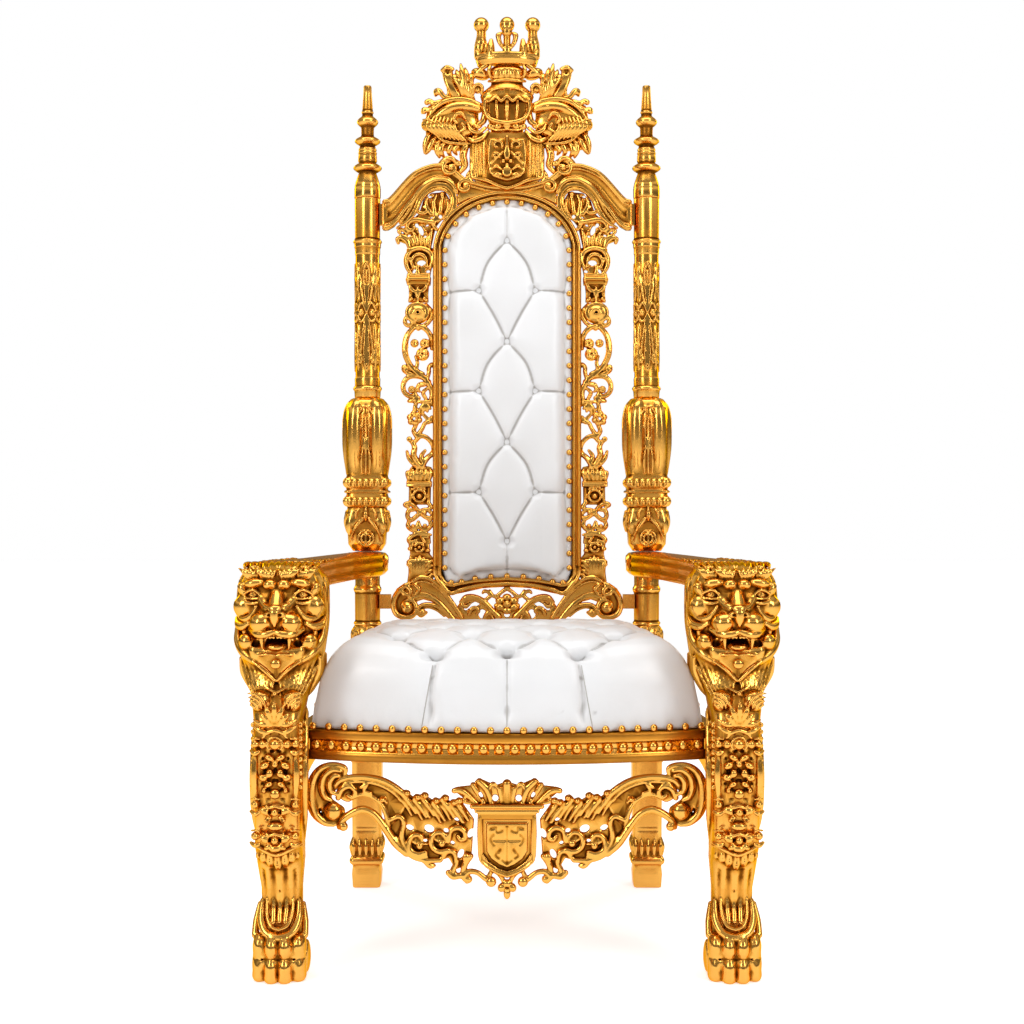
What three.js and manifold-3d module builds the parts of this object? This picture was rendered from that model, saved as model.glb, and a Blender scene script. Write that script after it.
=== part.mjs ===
// A carved and gilded high-back throne with lion-head arms and a tufted leather seat and back.
// Millimetres, +Z up, front towards -Y, origin on the floor under the middle of the whole chair.
import * as THREE from 'three';
import { mergeVertices } from 'three/addons/utils/BufferGeometryUtils.js';
import Module from 'manifold-3d';

const wasm = await Module();
wasm.setup();

// ---- driving dimensions ---------------------------------------------------------------------
const GAP = 0.3;                    // clearance between pieces that touch
const LEG_X = 383;                  // centre line of a lion leg
const POST_X = 294;                 // centre line of a back post
const POST_Y = 356;
const ARM_TOP = 703;
const ARM_BOTTOM = 652;
const RAIL_BOTTOM = 364;            // front seat rail: three bands, one above another
const RAIL_BEAD_LOW = 381;
const RAIL_BEAD_HIGH = 399;
const RAIL_TOP = 415;
const RAIL_HALF = 341.4;            // half the length of the front rail, leg to leg
const RAIL_END_Y = -278;            // front face of the rail beside a leg
const RAIL_BOW = 63;                // how far the rail bows forward in the middle
const RAIL_DEEP = 34;
const RAIL_CHANNEL = 7;             // how far the bead channel is set back
const REAR_LEG_HALF = 31;
const CUSHION_TOP = 588;
const FRAME_FRONT = 331;            // front face of the carved back frame
const FRAME_BACK = 361;
const ARCH_HALF = 137;              // inside of the arch moulding round the back cushion
const ARCH_WIDE = 18;               // width of that moulding
const ARCH_SPRING = 1330;           // height at which its straight sides end
const ARCH_RISE = 111;
const ARCH_FOOT = 652;
const APRON_FRONT = -300;
const APRON_BACK = -274;
const CREST_FRONT = 318;
const CREST_BACK = 360;

// ---- materials ------------------------------------------------------------------------------
const gold = new THREE.MeshStandardMaterial({ color: 0xd9a441, roughness: 0.22, metalness: 1.0 });
const leather = new THREE.MeshStandardMaterial({ color: 0xf0efee, roughness: 0.38, metalness: 0.0 });
const timber = new THREE.MeshStandardMaterial({ color: 0x8a6b45, roughness: 0.7, metalness: 0.0 });

const throne = new THREE.Group();
throne.name = 'throne';

// ---- solids: join, cut, mirror --------------------------------------------------------------
function solidOf(geometry) {
  const bare = geometry.clone();
  bare.deleteAttribute('normal');
  bare.deleteAttribute('uv');
  const merged = mergeVertices(bare, 1e-3);
  return new wasm.Manifold(new wasm.Mesh({
    numProp: 3,
    vertProperties: Float32Array.from(merged.attributes.position.array),
    triVerts: Uint32Array.from(merged.index.array),
  }));
}

function geometryOf(solid) {
  const mesh = solid.getMesh();
  const geometry = new THREE.BufferGeometry();
  geometry.setAttribute('position', new THREE.BufferAttribute(Float32Array.from(mesh.vertProperties), 3));
  geometry.setIndex(new THREE.BufferAttribute(Uint32Array.from(mesh.triVerts), 1));
  return geometry;
}

function join(geometries) {
  return geometryOf(geometries.map(solidOf).reduce((whole, next) => whole.add(next)));
}

function cut(geometry, ...tools) {
  return geometryOf(tools.map(solidOf).reduce((rest, tool) => rest.subtract(tool), solidOf(geometry)));
}

function keep(geometry, room) {
  return geometryOf(solidOf(geometry).intersect(solidOf(room)));
}

function mirrored(geometry) {
  const copy = geometry.index ? geometry.clone() : mergeVertices(geometry, 1e-3);
  copy.scale(-1, 1, 1);
  const corners = copy.index.array;
  for (let i = 0; i < corners.length; i += 3) {
    [corners[i], corners[i + 1]] = [corners[i + 1], corners[i]];
  }
  return copy;
}

function withMirror(geometries) {
  return [...geometries, ...geometries.map(mirrored)];
}

function place(name, geometry, material) {
  const mesh = new THREE.Mesh(geometry, material);
  mesh.name = name;
  throne.add(mesh);
}

function placePair(name, leftGeometry, material) {
  place(`${name}_left`, leftGeometry, material);
  place(`${name}_right`, mirrored(leftGeometry), material);
}

// ---- basic shapes ---------------------------------------------------------------------------
// A block between two corners.
function block(low, high) {
  const size = high.map((value, axis) => value - low[axis]);
  const box = new THREE.BoxGeometry(...size);
  return box.translate(...low.map((value, axis) => value + size[axis] / 2));
}

// A turned piece on a vertical axis, from [radius, height] points listed from the foot up.
function turned(profile, x, y, sides = 10) {
  const points = profile.map(([radius, height]) => new THREE.Vector2(radius, height));
  points.unshift(new THREE.Vector2(0, profile[0][1]));
  points.push(new THREE.Vector2(0, profile[profile.length - 1][1]));
  return new THREE.LatheGeometry(points, sides).rotateX(Math.PI / 2).translate(x, y, 0);
}

// An egg-shaped lump; tilt turns it in the plane of the chair's front.
function lump([x, y, z], [rx, ry, rz], tilt = 0, around = 6, up = 3) {
  const ball = new THREE.SphereGeometry(1, around, up).rotateX(Math.PI / 2);
  return ball.scale(rx, ry, rz).rotateY(tilt).translate(x, y, z);
}

// A flat carving drawn in the plane of the chair's front (x, height) and given a depth.
function slab(shape, front, back, chamfer = 0) {
  const options = { depth: back - front - 2 * chamfer, bevelEnabled: chamfer > 0,
    bevelThickness: chamfer, bevelSize: chamfer, bevelOffset: -chamfer, bevelSegments: 1,
    curveSegments: 3 };
  return new THREE.ExtrudeGeometry(shape, options).rotateX(Math.PI / 2).translate(0, back - chamfer, 0);
}

function outline(points) {
  return new THREE.Shape(points.map(([x, z]) => new THREE.Vector2(x, z)));
}

// A carved strap or stem: a smooth path with a width that changes along it.
function strap(path, widths, front, back, steps = path.length - 1) {
  const curve = new THREE.SplineCurve(path.map(([x, z]) => new THREE.Vector2(x, z)));
  const left = [];
  const right = [];
  for (let i = 0; i <= steps; i += 1) {
    const t = i / steps;
    const at = curve.getPoint(t);
    const along = curve.getTangent(t);
    const slot = t * (widths.length - 1);
    const low = Math.min(Math.floor(slot), widths.length - 2);
    const half = (widths[low] + (widths[low + 1] - widths[low]) * (slot - low)) / 2;
    left.push([at.x - along.y * half, at.y + along.x * half]);
    right.unshift([at.x + along.y * half, at.y - along.x * half]);
  }
  return slab(outline([...right.reverse(), ...left.reverse()]), front, back);
}

// A round boss or rosette with a raised middle, seen from the front.
function boss([x, z], radius, front, back, sides = 6) {
  const rim = front + (back - front) * 0.4;
  const profile = [[0, back], [radius, back], [radius, rim], [0, front]];
  const points = profile.map(([r, y]) => new THREE.Vector2(r, -y));
  return new THREE.LatheGeometry(points, sides).translate(x, 0, 0)
    .applyMatrix4(new THREE.Matrix4().set(1, 0, 0, 0, 0, -1, 0, 0, 0, 0, -1, 0, 0, 0, 0, 1))
    .translate(0, 0, z);
}

// A skin over rings that all have the same number of points, closed by a fan at each end.
function skin(rings) {
  const count = rings[0].length;
  const positions = rings.flat(2);
  const corners = [];
  for (let r = 0; r + 1 < rings.length; r += 1) {
    for (let i = 0; i < count; i += 1) {
      const next = (i + 1) % count;
      const [a, b, c, d] = [r * count + i, r * count + next, (r + 1) * count + next, (r + 1) * count + i];
      corners.push(a, b, c, a, c, d);
    }
  }
  const caps = [[rings[0], 0, true], [rings.at(-1), (rings.length - 1) * count, false]];
  for (const [ring, start, flip] of caps) {
    const middle = [0, 1, 2].map((axis) => ring.reduce((sum, point) => sum + point[axis], 0) / count);
    const hub = positions.length / 3;
    positions.push(...middle);
    for (let i = 0; i < count; i += 1) {
      const next = start + (i + 1) % count;
      corners.push(...(flip ? [hub, next, start + i] : [hub, start + i, next]));
    }
  }
  const geometry = new THREE.BufferGeometry();
  geometry.setAttribute('position', new THREE.BufferAttribute(Float32Array.from(positions), 3));
  geometry.setIndex(corners);
  return geometry;
}

// A level ring between a round and a square, by its half width and its front and back faces.
function levelRing(z, x, half, front, back, round = 2.6, count = 10) {
  const ring = [];
  for (let i = 0; i < count; i += 1) {
    const turn = ((i + 0.5) / count) * 2 * Math.PI;
    const [c, s] = [Math.cos(turn), Math.sin(turn)];
    const px = Math.sign(c) * Math.abs(c) ** (2 / round);
    const py = Math.sign(s) * Math.abs(s) ** (2 / round);
    ring.push([x + half * px, (front + back) / 2 + ((back - front) / 2) * py, z]);
  }
  return ring;
}

// ---- lion leg: paw, shaft, knee, mane and head in one carving -------------------------------
// Each row is [height, half width, front, back, squareness].
const LEG_SECTIONS = [
  [0, 38, -350, -262, 3], [14, 42, -352, -255, 3], [62, 41, -348, -248, 2.6], [84, 37, -336, -250, 2.4],
  [110, 35, -325, -253, 2.4], [150, 35.5, -325, -256, 2.6], [210, 41, -348, -262, 3],
  [260, 41, -370, -275, 4],
  [340, 41, -380, -286, 4], [440, 41, -379, -281, 4], [484, 50, -372, -262, 2.8], [520, 67, -362, -242, 2.4],
  [570, 73, -352, -230, 2.6], [625, 77, -348, -226, 2.8], [680, 76, -342, -225.5, 2.8],
  [701, 56, -322, -232, 2.6],
];
const KNEE_BALLS = [409, 330, 250];

function legCore(grow) {
  return skin(LEG_SECTIONS.map(([z, half, front, back, round]) => (
    levelRing(z, 0, half + grow, front - grow, back + grow, round))));
}

function lionLeg() {
  const pieces = [legCore(0)];
  for (const side of [-1, 1]) {
    // face: muzzle pads, brows, cheeks and jaw corners
    pieces.push(lump([22 * side, -372.2, 607], [26, 25, 22]));
    pieces.push(lump([40 * side, -344, 670], [33, 17, 11], 0.25 * side));
    pieces.push(lump([57 * side, -322, 626], [22, 26, 17], 0.3 * side));
    pieces.push(lump([56 * side, -318, 562], [22, 28, 23]));
    // mane locks that fan down from the jaw, and the ruff behind the cheek
    pieces.push(lump([26 * side, -346, 500], [15, 17, 42], -0.15 * side));
    pieces.push(lump([56 * side, -306, 520], [13, 22, 36], -0.2 * side));
    pieces.push(lump([70 * side, -272, 600], [11, 26, 52]));
    // paw: a knuckle and a claw pad for each toe
    pieces.push(lump([12.8 * side, -336, 18], [14, 18, 22]));
    pieces.push(lump([12.8 * side, -334, 55], [14, 18, 19]));
    pieces.push(lump([33 * side, -322, 32], [12, 24, 38]));
  }
  // snout with the nose, lower lip, chin, central leaf and bosses of the knee
  pieces.push(lump([0, -364, 634], [23, 30, 34]));
  pieces.push(lump([0, -364, 536], [34, 30, 36]));
  pieces.push(lump([0, -374, 458], [12, 13, 30]));
  for (const height of KNEE_BALLS) {
    pieces.push(lump([0, -390 + (409 - height) * 0.08 + 14, height], [15, 15, 14]));
  }
  const mouth = block([-25, -420, 562], [25, -352, 582]);
  const under = block([-90, -420, -60], [90, -200, 0]);
  return cut(join(pieces), mouth, under).translate(-LEG_X, 0, 0);
}

placePair('front_leg', lionLeg(), gold);

// ---- arm: moulded rail from the lion head back to the post ----------------------------------
// Each station is [y, centre x, half width]; the rail swells at its scrolled back end.
const ARM_STATIONS = [
  [-224.5, -378, 56], [-170, -372, 49], [-50, -357, 41], [110, -336, 39], [230, -316, 41], [310, -301, 47],
  [390, -294, 41],
];

function arm() {
  const side = [[1, 0.14], [0.9, 0.36], [0.9, 0.62], [1, 0.84], [0.8, 1]];
  const rings = ARM_STATIONS.map(([y, x, half]) => {
    const height = ARM_TOP - ARM_BOTTOM;
    const point = ([u, v], sign) => [x + sign * half * u, y, ARM_BOTTOM + v * height];
    const under = [[0.8, 0]];
    const right = [...under, ...side].map((p) => point(p, 1));
    const left = [...under, ...side].map((p) => point(p, -1)).reverse();
    return [...right, ...left].reverse();
  });
  return skin(rings);
}

placePair('arm', arm(), gold);

// ---- turned and carved back posts -----------------------------------------------------------
const FINIAL = [[27, 1445 + GAP], [28, 1473], [22, 1500], [30, 1509], [28, 1525], [19, 1531], [12, 1560],
  [28, 1568], [26, 1580], [13, 1585], [13, 1601], [22, 1608], [20, 1622], [12, 1630], [8, 1682]];
const SHAFT = [[27, 1025], [30, 1044], [26, 1054], [30, 1130], [25, 1194], [31, 1203], [25, 1212], [30, 1262],
  [26, 1308], [30, 1348], [27, 1358], [27, 1445]];
const COLUMN = [[30, 500 + GAP], [35, 513], [33, 536], [29, 552], [26, 558], [27, 612], [29, 622], [26, 630],
  [26, ARM_BOTTOM - GAP]];

function postShaft() {
  const pieces = [turned(SHAFT, 0, 0)];
  for (const height of [1262, 1134]) {
    pieces.push(lump([0, -22, height], [15, 11, 46]));
  }
  return join(pieces).translate(-POST_X, POST_Y, 0);
}

placePair('finial', turned(FINIAL, -POST_X, POST_Y), gold);
placePair('post', postShaft(), gold);
placePair('column', turned(COLUMN, -POST_X, POST_Y), gold);

// ---- console block on the arm: lobed shoulders, two rows of big beads, drooping leaf below --
// Each row is [height, half width, squareness]; the back is shallower than the front.
const CONSOLE_SECTIONS = [[ARM_TOP + GAP, 31, 3], [720, 40, 4], [786, 43, 5], [792, 40, 5], [800, 49, 5],
  [818, 49, 5], [827, 43, 5], [836, 49, 5], [856, 49, 5], [862, 42, 5], [980, 44.5, 5], [1014, 39, 3],
  [1025 - GAP, 30, 2.4]];
const CONSOLE_BACK = 0.735;

function consoleBlock() {
  const rings = CONSOLE_SECTIONS.map(([z, half, round]) => (
    levelRing(z, 0, half, -half, half * CONSOLE_BACK, round, 8)));
  const pieces = [skin(rings)];
  for (const side of [-1, 1]) {
    pieces.push(lump([21 * side, -36, 946], [20, 12, 78]));
  }
  pieces.push(lump([0, -40, 752], [22, 9, 30]));
  return join(pieces).translate(-POST_X, POST_Y, 0);
}

placePair('console', consoleBlock(), gold);

// ---- rear legs: square, slightly swept, with a leaf collar and a roll above the foot --------
const REAR_LEG_SECTIONS = [
  [0, 29, 323, 386], [28, 31, 322, 385], [41, 29, 324, 382], [47, 33, 319, 386], [64, 33, 319, 386],
  [69, 30, 322, 383], [102, 31.5, 320, 384], [112, 30, 321, 382], [230, 31, 324, 386], [360, 31, 325, 387],
  [500, 31, 325, 387],
];

function rearLeg() {
  const rings = REAR_LEG_SECTIONS.map(
    ([z, half, front, back]) => levelRing(z, -POST_X, half, front, back, 8, 8));
  return skin(rings);
}

placePair('rear_leg', rearLeg(), gold);

// ---- seat rails -----------------------------------------------------------------------------
// How far forward the bowed front rail stands at x.
function bow(x) {
  return RAIL_END_Y - RAIL_BOW * (1 - (x / RAIL_HALF) ** 2);
}

// One level of the bowed rail, its face set back by inset.
function railLevel(inset, low, high) {
  const level = new THREE.Shape();
  const stations = 12;
  level.moveTo(-RAIL_HALF, bow(-RAIL_HALF) + RAIL_DEEP);
  for (let i = 0; i <= stations; i += 1) {
    const x = RAIL_HALF * ((2 * i) / stations - 1);
    level.lineTo(x, bow(x) + inset);
  }
  for (let i = stations; i > 0; i -= 1) {
    const x = RAIL_HALF * ((2 * i) / stations - 1);
    level.lineTo(x, bow(x) + RAIL_DEEP);
  }
  return new THREE.ExtrudeGeometry(level, { depth: high - low, bevelEnabled: false }).translate(0, 0, low);
}

// Front rail with a channel along its face for the bead row.
function frontRail() {
  return join([
    railLevel(RAIL_CHANNEL, RAIL_BOTTOM, RAIL_TOP),
    railLevel(0, RAIL_BOTTOM, RAIL_BEAD_LOW),
    railLevel(0, RAIL_BEAD_HIGH, RAIL_TOP),
  ]);
}

const SIDE_FRONT_Y = -290;
const SIDE_BACK_Y = 323.9;
const SIDE_X = 372;                 // outer face of a side rail at its front end
const SIDE_TAPER = 47;              // how much nearer the middle its back end is
const SIDE_THICK = 26;

// Side rail with a shaped lower edge that comes down in a bracket at each leg.
function sideRail() {
  const middle = (SIDE_FRONT_Y + SIDE_BACK_Y) / 2;
  const profile = new THREE.Shape();
  profile.moveTo(SIDE_FRONT_Y, RAIL_TOP);
  profile.lineTo(SIDE_FRONT_Y, 322);
  profile.quadraticCurveTo(SIDE_FRONT_Y + 70, 362, middle, RAIL_BOTTOM);
  profile.quadraticCurveTo(SIDE_BACK_Y - 70, 360, SIDE_BACK_Y, 262);
  profile.lineTo(SIDE_BACK_Y, RAIL_TOP);
  const rail = new THREE.ExtrudeGeometry(profile, { depth: SIDE_THICK, bevelEnabled: false,
    curveSegments: 6 });
  rail.applyMatrix4(new THREE.Matrix4().set(0, 0, 1, 0, 1, 0, 0, 0, 0, 1, 0, 0, 0, 0, 0, 1));
  const corners = rail.attributes.position;
  for (let i = 0; i < corners.count; i += 1) {
    const along = (corners.getY(i) - SIDE_FRONT_Y) / (SIDE_BACK_Y - SIDE_FRONT_Y);
    corners.setX(i, corners.getX(i) - SIDE_X + along * SIDE_TAPER);
  }
  return cut(rail, legCore(GAP).translate(-LEG_X, 0, 0));
}

placePair('seat_rail', sideRail(), gold);
place('seat_rail_front', frontRail(), gold);

function backRail() {
  const half = POST_X - REAR_LEG_HALF - GAP;
  return block([-half, 326, RAIL_BOTTOM], [half, 360, RAIL_TOP]);
}

place('seat_rail_back', backRail(), gold);

// Deck board inside the rails, bowed like the front rail.
const DECK_THICK = 14;
const DECK_DROP = 1;                // how far its top lies below the rails' top

function seatDeck() {
  const frontHalf = RAIL_HALF - 3;
  const backHalf = SIDE_X - SIDE_TAPER - SIDE_THICK - GAP;
  const front = [];
  for (let i = 0; i <= 8; i += 1) {
    const x = frontHalf * ((2 * i) / 8 - 1);
    front.push([x, bow(x) + RAIL_DEEP + 1]);
  }
  const board = [...front, [backHalf, 318], [-backHalf, 318]].map(([x, y]) => new THREE.Vector2(x, y));
  const options = { depth: DECK_THICK, bevelEnabled: false };
  const deck = new THREE.ExtrudeGeometry(new THREE.Shape(board), options);
  return deck.translate(0, 0, RAIL_TOP - DECK_DROP - DECK_THICK);
}

place('seat_deck', seatDeck(), timber);

// ---- seat cushion: bowed front, upright rolled sides, crowned top ---------------------------
// Each level is [height, how far the sides, the front and the back draw in].
const CUSHION_LEVELS = [
  [RAIL_TOP + GAP, 0, 0, 0], [450, 0, -4, 0], [490, 9, -2, 1], [520, 23, 6, 4], [548, 37, 20, 10],
  [568, 58, 40, 22], [581, 92, 76, 46], [CUSHION_TOP, 156, 130, 96],
];
const CUSHION_HALF = 336;
const CUSHION_BACK_Y = 308;

function seatCushion() {
  const rings = CUSHION_LEVELS.map(([z, inset, insetFront, insetBack]) => {
    const ring = [];
    const half = CUSHION_HALF - inset;
    for (let i = 0; i <= 8; i += 1) {
      const x = half * ((2 * i) / 8 - 1);
      ring.push([x, bow(x) + 4 + insetFront, z]);
    }
    ring.push([half - 8, 0, z]);
    for (let i = 0; i <= 4; i += 1) {
      const x = (half - 44) * (1 - (2 * i) / 4);
      ring.push([x, CUSHION_BACK_Y - insetBack, z]);
    }
    ring.push([8 - half, 0, z]);
    return ring;
  });
  return skin(rings);
}

place('seat_cushion', seatCushion(), leather);

// ---- carved apron between the front legs ----------------------------------------------------
// Straps and leaves of the left half, each a path of [x, height] and its widths.
const APRON_STRAPS = [
  // big scroll against the leg
  [[[-279, 338], [-298, 351], [-324, 336], [-331, 304], [-320, 272], [-298, 259], [-280, 270]],
  [12, 15, 18, 12]],
  // long moulded arm falling to the middle
  [[[-270, 292], [-284, 312], [-262, 329], [-218, 320], [-172, 292]], [10, 14, 20, 28, 40]],
  // stem with a twisted leaf below the arm, and the curve it runs into
  [[[-282, 255], [-262, 269], [-238, 271], [-212, 248], [-188, 220]], [14, 13, 15, 16]],
  [[[-202, 272], [-192, 232], [-170, 206], [-142, 195], [-108, 197]], [18, 20, 13, 12]],
  // running scrolls below the comb
  [[[-174, 262], [-180, 232], [-162, 208], [-138, 208], [-132, 230], [-150, 238]], [8, 10, 10]],
  [[[-132, 214], [-122, 246], [-104, 266]], [9, 9, 8]],
  [[[-110, 200], [-98, 234], [-80, 246], [-68, 232]], [10, 12, 10]],
  [[[-130, 218], [-106, 210], [-82, 216], [-44, 228]], [14, 12, 9]],
  [[[-104, 198], [-96, 177], [-80, 172], [-64, 192], [-46, 212]], [10, 14, 18, 16]],
  // lower scrolls that carry the pendant
  [[[-66, 160], [-58, 171], [-36, 165], [-8, 160]], [13, 9, 10, 9]],
];
// Comb of leaves along the top of the left half, and half of the leafy crest above the shield.
const APRON_COMB = [[-204, 276], [-150, 266], [-100, 257], [-44, 252], [-46, 264], [-84, 307],
  [-96, 290], [-108, 310], [-128, 294], [-142, 314], [-158, 296], [-172, 319], [-204, 312]];
const SHIELD_CREST = [[-46, 284], [0, 284], [0, 333], [-12, 322], [-20, 296], [-28, 326], [-50, 333],
  [-60, 316], [-76, 320], [-92, 312], [-72, 304]];

function shieldShape(half, top, bottom) {
  const shape = new THREE.Shape();
  shape.moveTo(-half, top);
  shape.lineTo(half, top);
  shape.lineTo(half, bottom + 40);
  shape.quadraticCurveTo(half, bottom + 16, 0, bottom);
  shape.quadraticCurveTo(-half, bottom + 16, -half, bottom + 40);
  return shape;
}

function frontApron() {
  const left = APRON_STRAPS.map(([path, widths]) => strap(path, widths, APRON_FRONT + 3, APRON_BACK));
  left.push(slab(outline(APRON_COMB), APRON_FRONT + 3, APRON_BACK));
  left.push(slab(outline(SHIELD_CREST), APRON_FRONT + 3, APRON_BACK));
  left.push(boss([-297, 277], 17, APRON_FRONT, APRON_BACK));
  left.push(boss([-30, 160], 10, APRON_FRONT, APRON_BACK));
  const middle = [
    slab(shieldShape(51, 285, 162), APRON_FRONT, APRON_BACK),
    block([-60, APRON_FRONT - 2, 281], [60, APRON_BACK, 291]),
    strap([[0, 168], [0, 142], [0, 128]], [20, 30, 7], APRON_FRONT + 3, APRON_BACK, 2),
  ];
  const fields = [
    slab(shieldShape(40, 276, 174), APRON_FRONT - 4, APRON_FRONT + 5),
    block([-5, APRON_FRONT - 4, 190], [5, APRON_FRONT + 9, 262]),
    block([-26, APRON_FRONT - 4, 222], [26, APRON_FRONT + 9, 231]),
  ];
  const room = block([-RAIL_HALF, -400, 0], [RAIL_HALF, 0, 360]);
  return keep(cut(join([...withMirror(left), ...middle]), ...fields), room);
}

place('front_apron', frontApron(), gold);

// ---- carved back frame: arch moulding, side fretwork, volute brackets and lower scrolls -----
// Left half of the arch from its spring to the crown.
function archPoints(grow, steps = 8) {
  const points = [];
  for (let i = 0; i <= steps; i += 1) {
    const turn = (i / steps) * (Math.PI / 2);
    const across = (ARCH_HALF + grow) * Math.cos(turn) ** 0.92;
    points.push([-across, ARCH_SPRING + (ARCH_RISE + grow) * Math.sin(turn) ** 0.92]);
  }
  return points;
}

// Closed outline of the cushion's opening, grown by a margin; its foot is a shallow arch.
function archShape(grow) {
  const left = archPoints(grow);
  const right = left.slice(0, -1).reverse().map(([x, z]) => [-x, z]);
  const foot = [[ARCH_HALF + grow, ARCH_FOOT], [ARCH_HALF - 18 + grow * 0.6, 628 - grow], [70, 637 - grow],
    [0, 646 - grow], [-70, 637 - grow], [18 - ARCH_HALF - grow * 0.6, 628 - grow],
    [-ARCH_HALF - grow, ARCH_FOOT]];
  return outline([...left, ...right, ...foot]);
}

const FRET_FRONT = FRAME_FRONT + 3;
const FRET_BACK = FRAME_BACK - 5;
// Straps of the left fretwork from the top down, each a path of [x, height] and its widths.
const FRET_STRAPS = [
  // leaf spray inside the crest rail's hook
  [[[-146, 1376], [-160, 1402], [-190, 1404], [-206, 1392], [-198, 1380]], [18, 16, 14]],
  [[[-146, 1396], [-152, 1418], [-186, 1412]], [14, 16, 10]],
  [[[-140, 1394], [-134, 1420], [-136, 1448]], [16, 18, 24]],
  // running vine
  [[[-190, 1184], [-208, 1150], [-208, 1108], [-184, 1074], [-164, 1044], [-168, 1010]], [9, 11, 13, 11]],
  [[[-190, 1184], [-166, 1168], [-158, 1136], [-176, 1134]], [9, 10, 12]],
  [[[-190, 1076], [-220, 1082]], [14, 8]],
  [[[-168, 1064], [-166, 1084], [-154, 1093]], [10, 10, 8]],
  [[[-182, 1070], [-206, 1062], [-213, 1042], [-198, 1034]], [9, 10, 11]],
  [[[-180, 1074], [-181, 1128]], [9, 32]],
  [[[-200, 1036], [-200, 1010], [-190, 984]], [12, 9, 9]],
  [[[-188, 994], [-172, 978], [-150, 974]], [9, 8, 11]],
  [[[-196, 970], [-188, 946], [-164, 936], [-152, 914]], [9, 9, 11]],
  [[[-207, 940], [-196, 918], [-182, 878]], [13, 12, 14]],
  [[[-152, 912], [-172, 896], [-178, 872]], [12, 14, 12]],
];
// Solid stretches of the left fretwork: fan capital with its ring and pinched block, palmette with a
// collar and rosette block, knot, and the acanthus that stands on the bracket; then their openings.
const FRET_PLATES = [
  [[-206, 1226], [-165, 1226], [-167, 1262], [-158, 1264], [-157, 1312], [-160, 1340],
  [-148, 1384], [-176, 1372],
    [-194, 1400], [-204, 1368], [-222, 1384], [-231, 1356], [-208, 1344], [-213, 1312],
    [-213, 1264], [-204, 1262]],
  [[-207, 800], [-161, 800], [-158, 850], [-167, 853], [-153, 871], [-183, 887], [-210, 875],
  [-202, 853], [-211, 848]],
  [[-209, 737], [-158, 737], [-154, 776], [-162, 804], [-206, 804], [-214, 780]],
  [[-216, 632], [-150, 640], [-150, 688], [-160, 700], [-156, 741], [-209, 741], [-206, 700],
  [-212, 676], [-206, 660]],
];
const FRET_OPENINGS = [[-185, 1310, 10], [-184, 793, 8], [-184, 765, 7]];
const FRET_BOSSES = [[-186, 1206, 27], [-194, 980, 17]];
const BRACKET_STRAPS = [
  // arch from the volute up over the acanthus and down across to the middle
  [[[-236, 584], [-232, 614], [-206, 632], [-172, 634], [-136, 610], [-92, 566]], [14, 22, 22, 16]],
  [[[-234, 594], [-232, 570], [-208, 562], [-190, 578], [-204, 600]], [12, 14, 12]],
  [[[-174, 571], [-184, 584], [-162, 590], [-118, 560]], [14, 12, 16]],
  // moulding that runs on below the arch foot, crossing inwards
  [[[-146, 670], [-138, 636], [-80, 566]], [18, 18, 14]],
  [[[-96, 588], [-76, 604], [-46, 596], [-10, 556]], [9, 11, 9]],
  [[[-50, 604], [-24, 602], [0, 626]], [11, 10, 12]],
  [[[-56, 556], [-40, 573], [-2, 552]], [12, 13, 12]],
];

// ---- crest rail: S-shaped moulded arms from the posts, hooked over the arch -----------------
const CREST_RAIL_TOP = [[-262, 1440], [-246, 1443], [-228, 1462], [-208, 1488], [-184, 1506], [-150, 1515],
  [-118, 1500], [-96, 1484], [-60, 1476], [0, 1474]];
const CREST_RAIL_FOOT = [[-262, 1376], [-238, 1379], [-216, 1396], [-198, 1424], [-178, 1448], [-150, 1462],
  [-126, 1456], [-117, 1436], [-126, 1408]];

// Points along a smooth line through the given ones, pushed to its right by a margin.
function smoothLine(path, margin, steps) {
  const curve = new THREE.SplineCurve(path.map(([x, z]) => new THREE.Vector2(x, z)));
  const points = [];
  for (let i = 0; i <= steps; i += 1) {
    const at = curve.getPoint(i / steps);
    const along = curve.getTangent(i / steps);
    points.push([at.x + along.y * margin, at.y - along.x * margin]);
  }
  return points;
}

function crestRail() {
  const top = smoothLine(CREST_RAIL_TOP, 0, 9);
  const foot = smoothLine(CREST_RAIL_FOOT, 0, 12);
  const half = slab(outline([...foot, [0, 1408], ...top.reverse()]), FRAME_FRONT - 6, FRAME_BACK - 2, 5);
  const archRoom = slab(archShape(ARCH_WIDE + GAP), FRAME_FRONT - 30, FRAME_BACK + 30);
  const middle = block([-6, FRAME_FRONT - 6, 1442], [6, FRAME_BACK - 2, 1472]);
  return cut(join([half, mirrored(half), middle]), archRoom);
}

// The space that the crest rail takes, with clearance, outside the arch moulding.
function crestRailRoom() {
  const foot = smoothLine(CREST_RAIL_FOOT, GAP, 12);
  const above = outline([...foot, [0, 1408], [0, 1600], [-270, 1600]]);
  const room = slab(above, FRAME_FRONT - 40, FRAME_BACK + 40);
  return cut(room, slab(archShape(ARCH_WIDE), FRAME_FRONT - 60, FRAME_BACK + 60));
}

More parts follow.
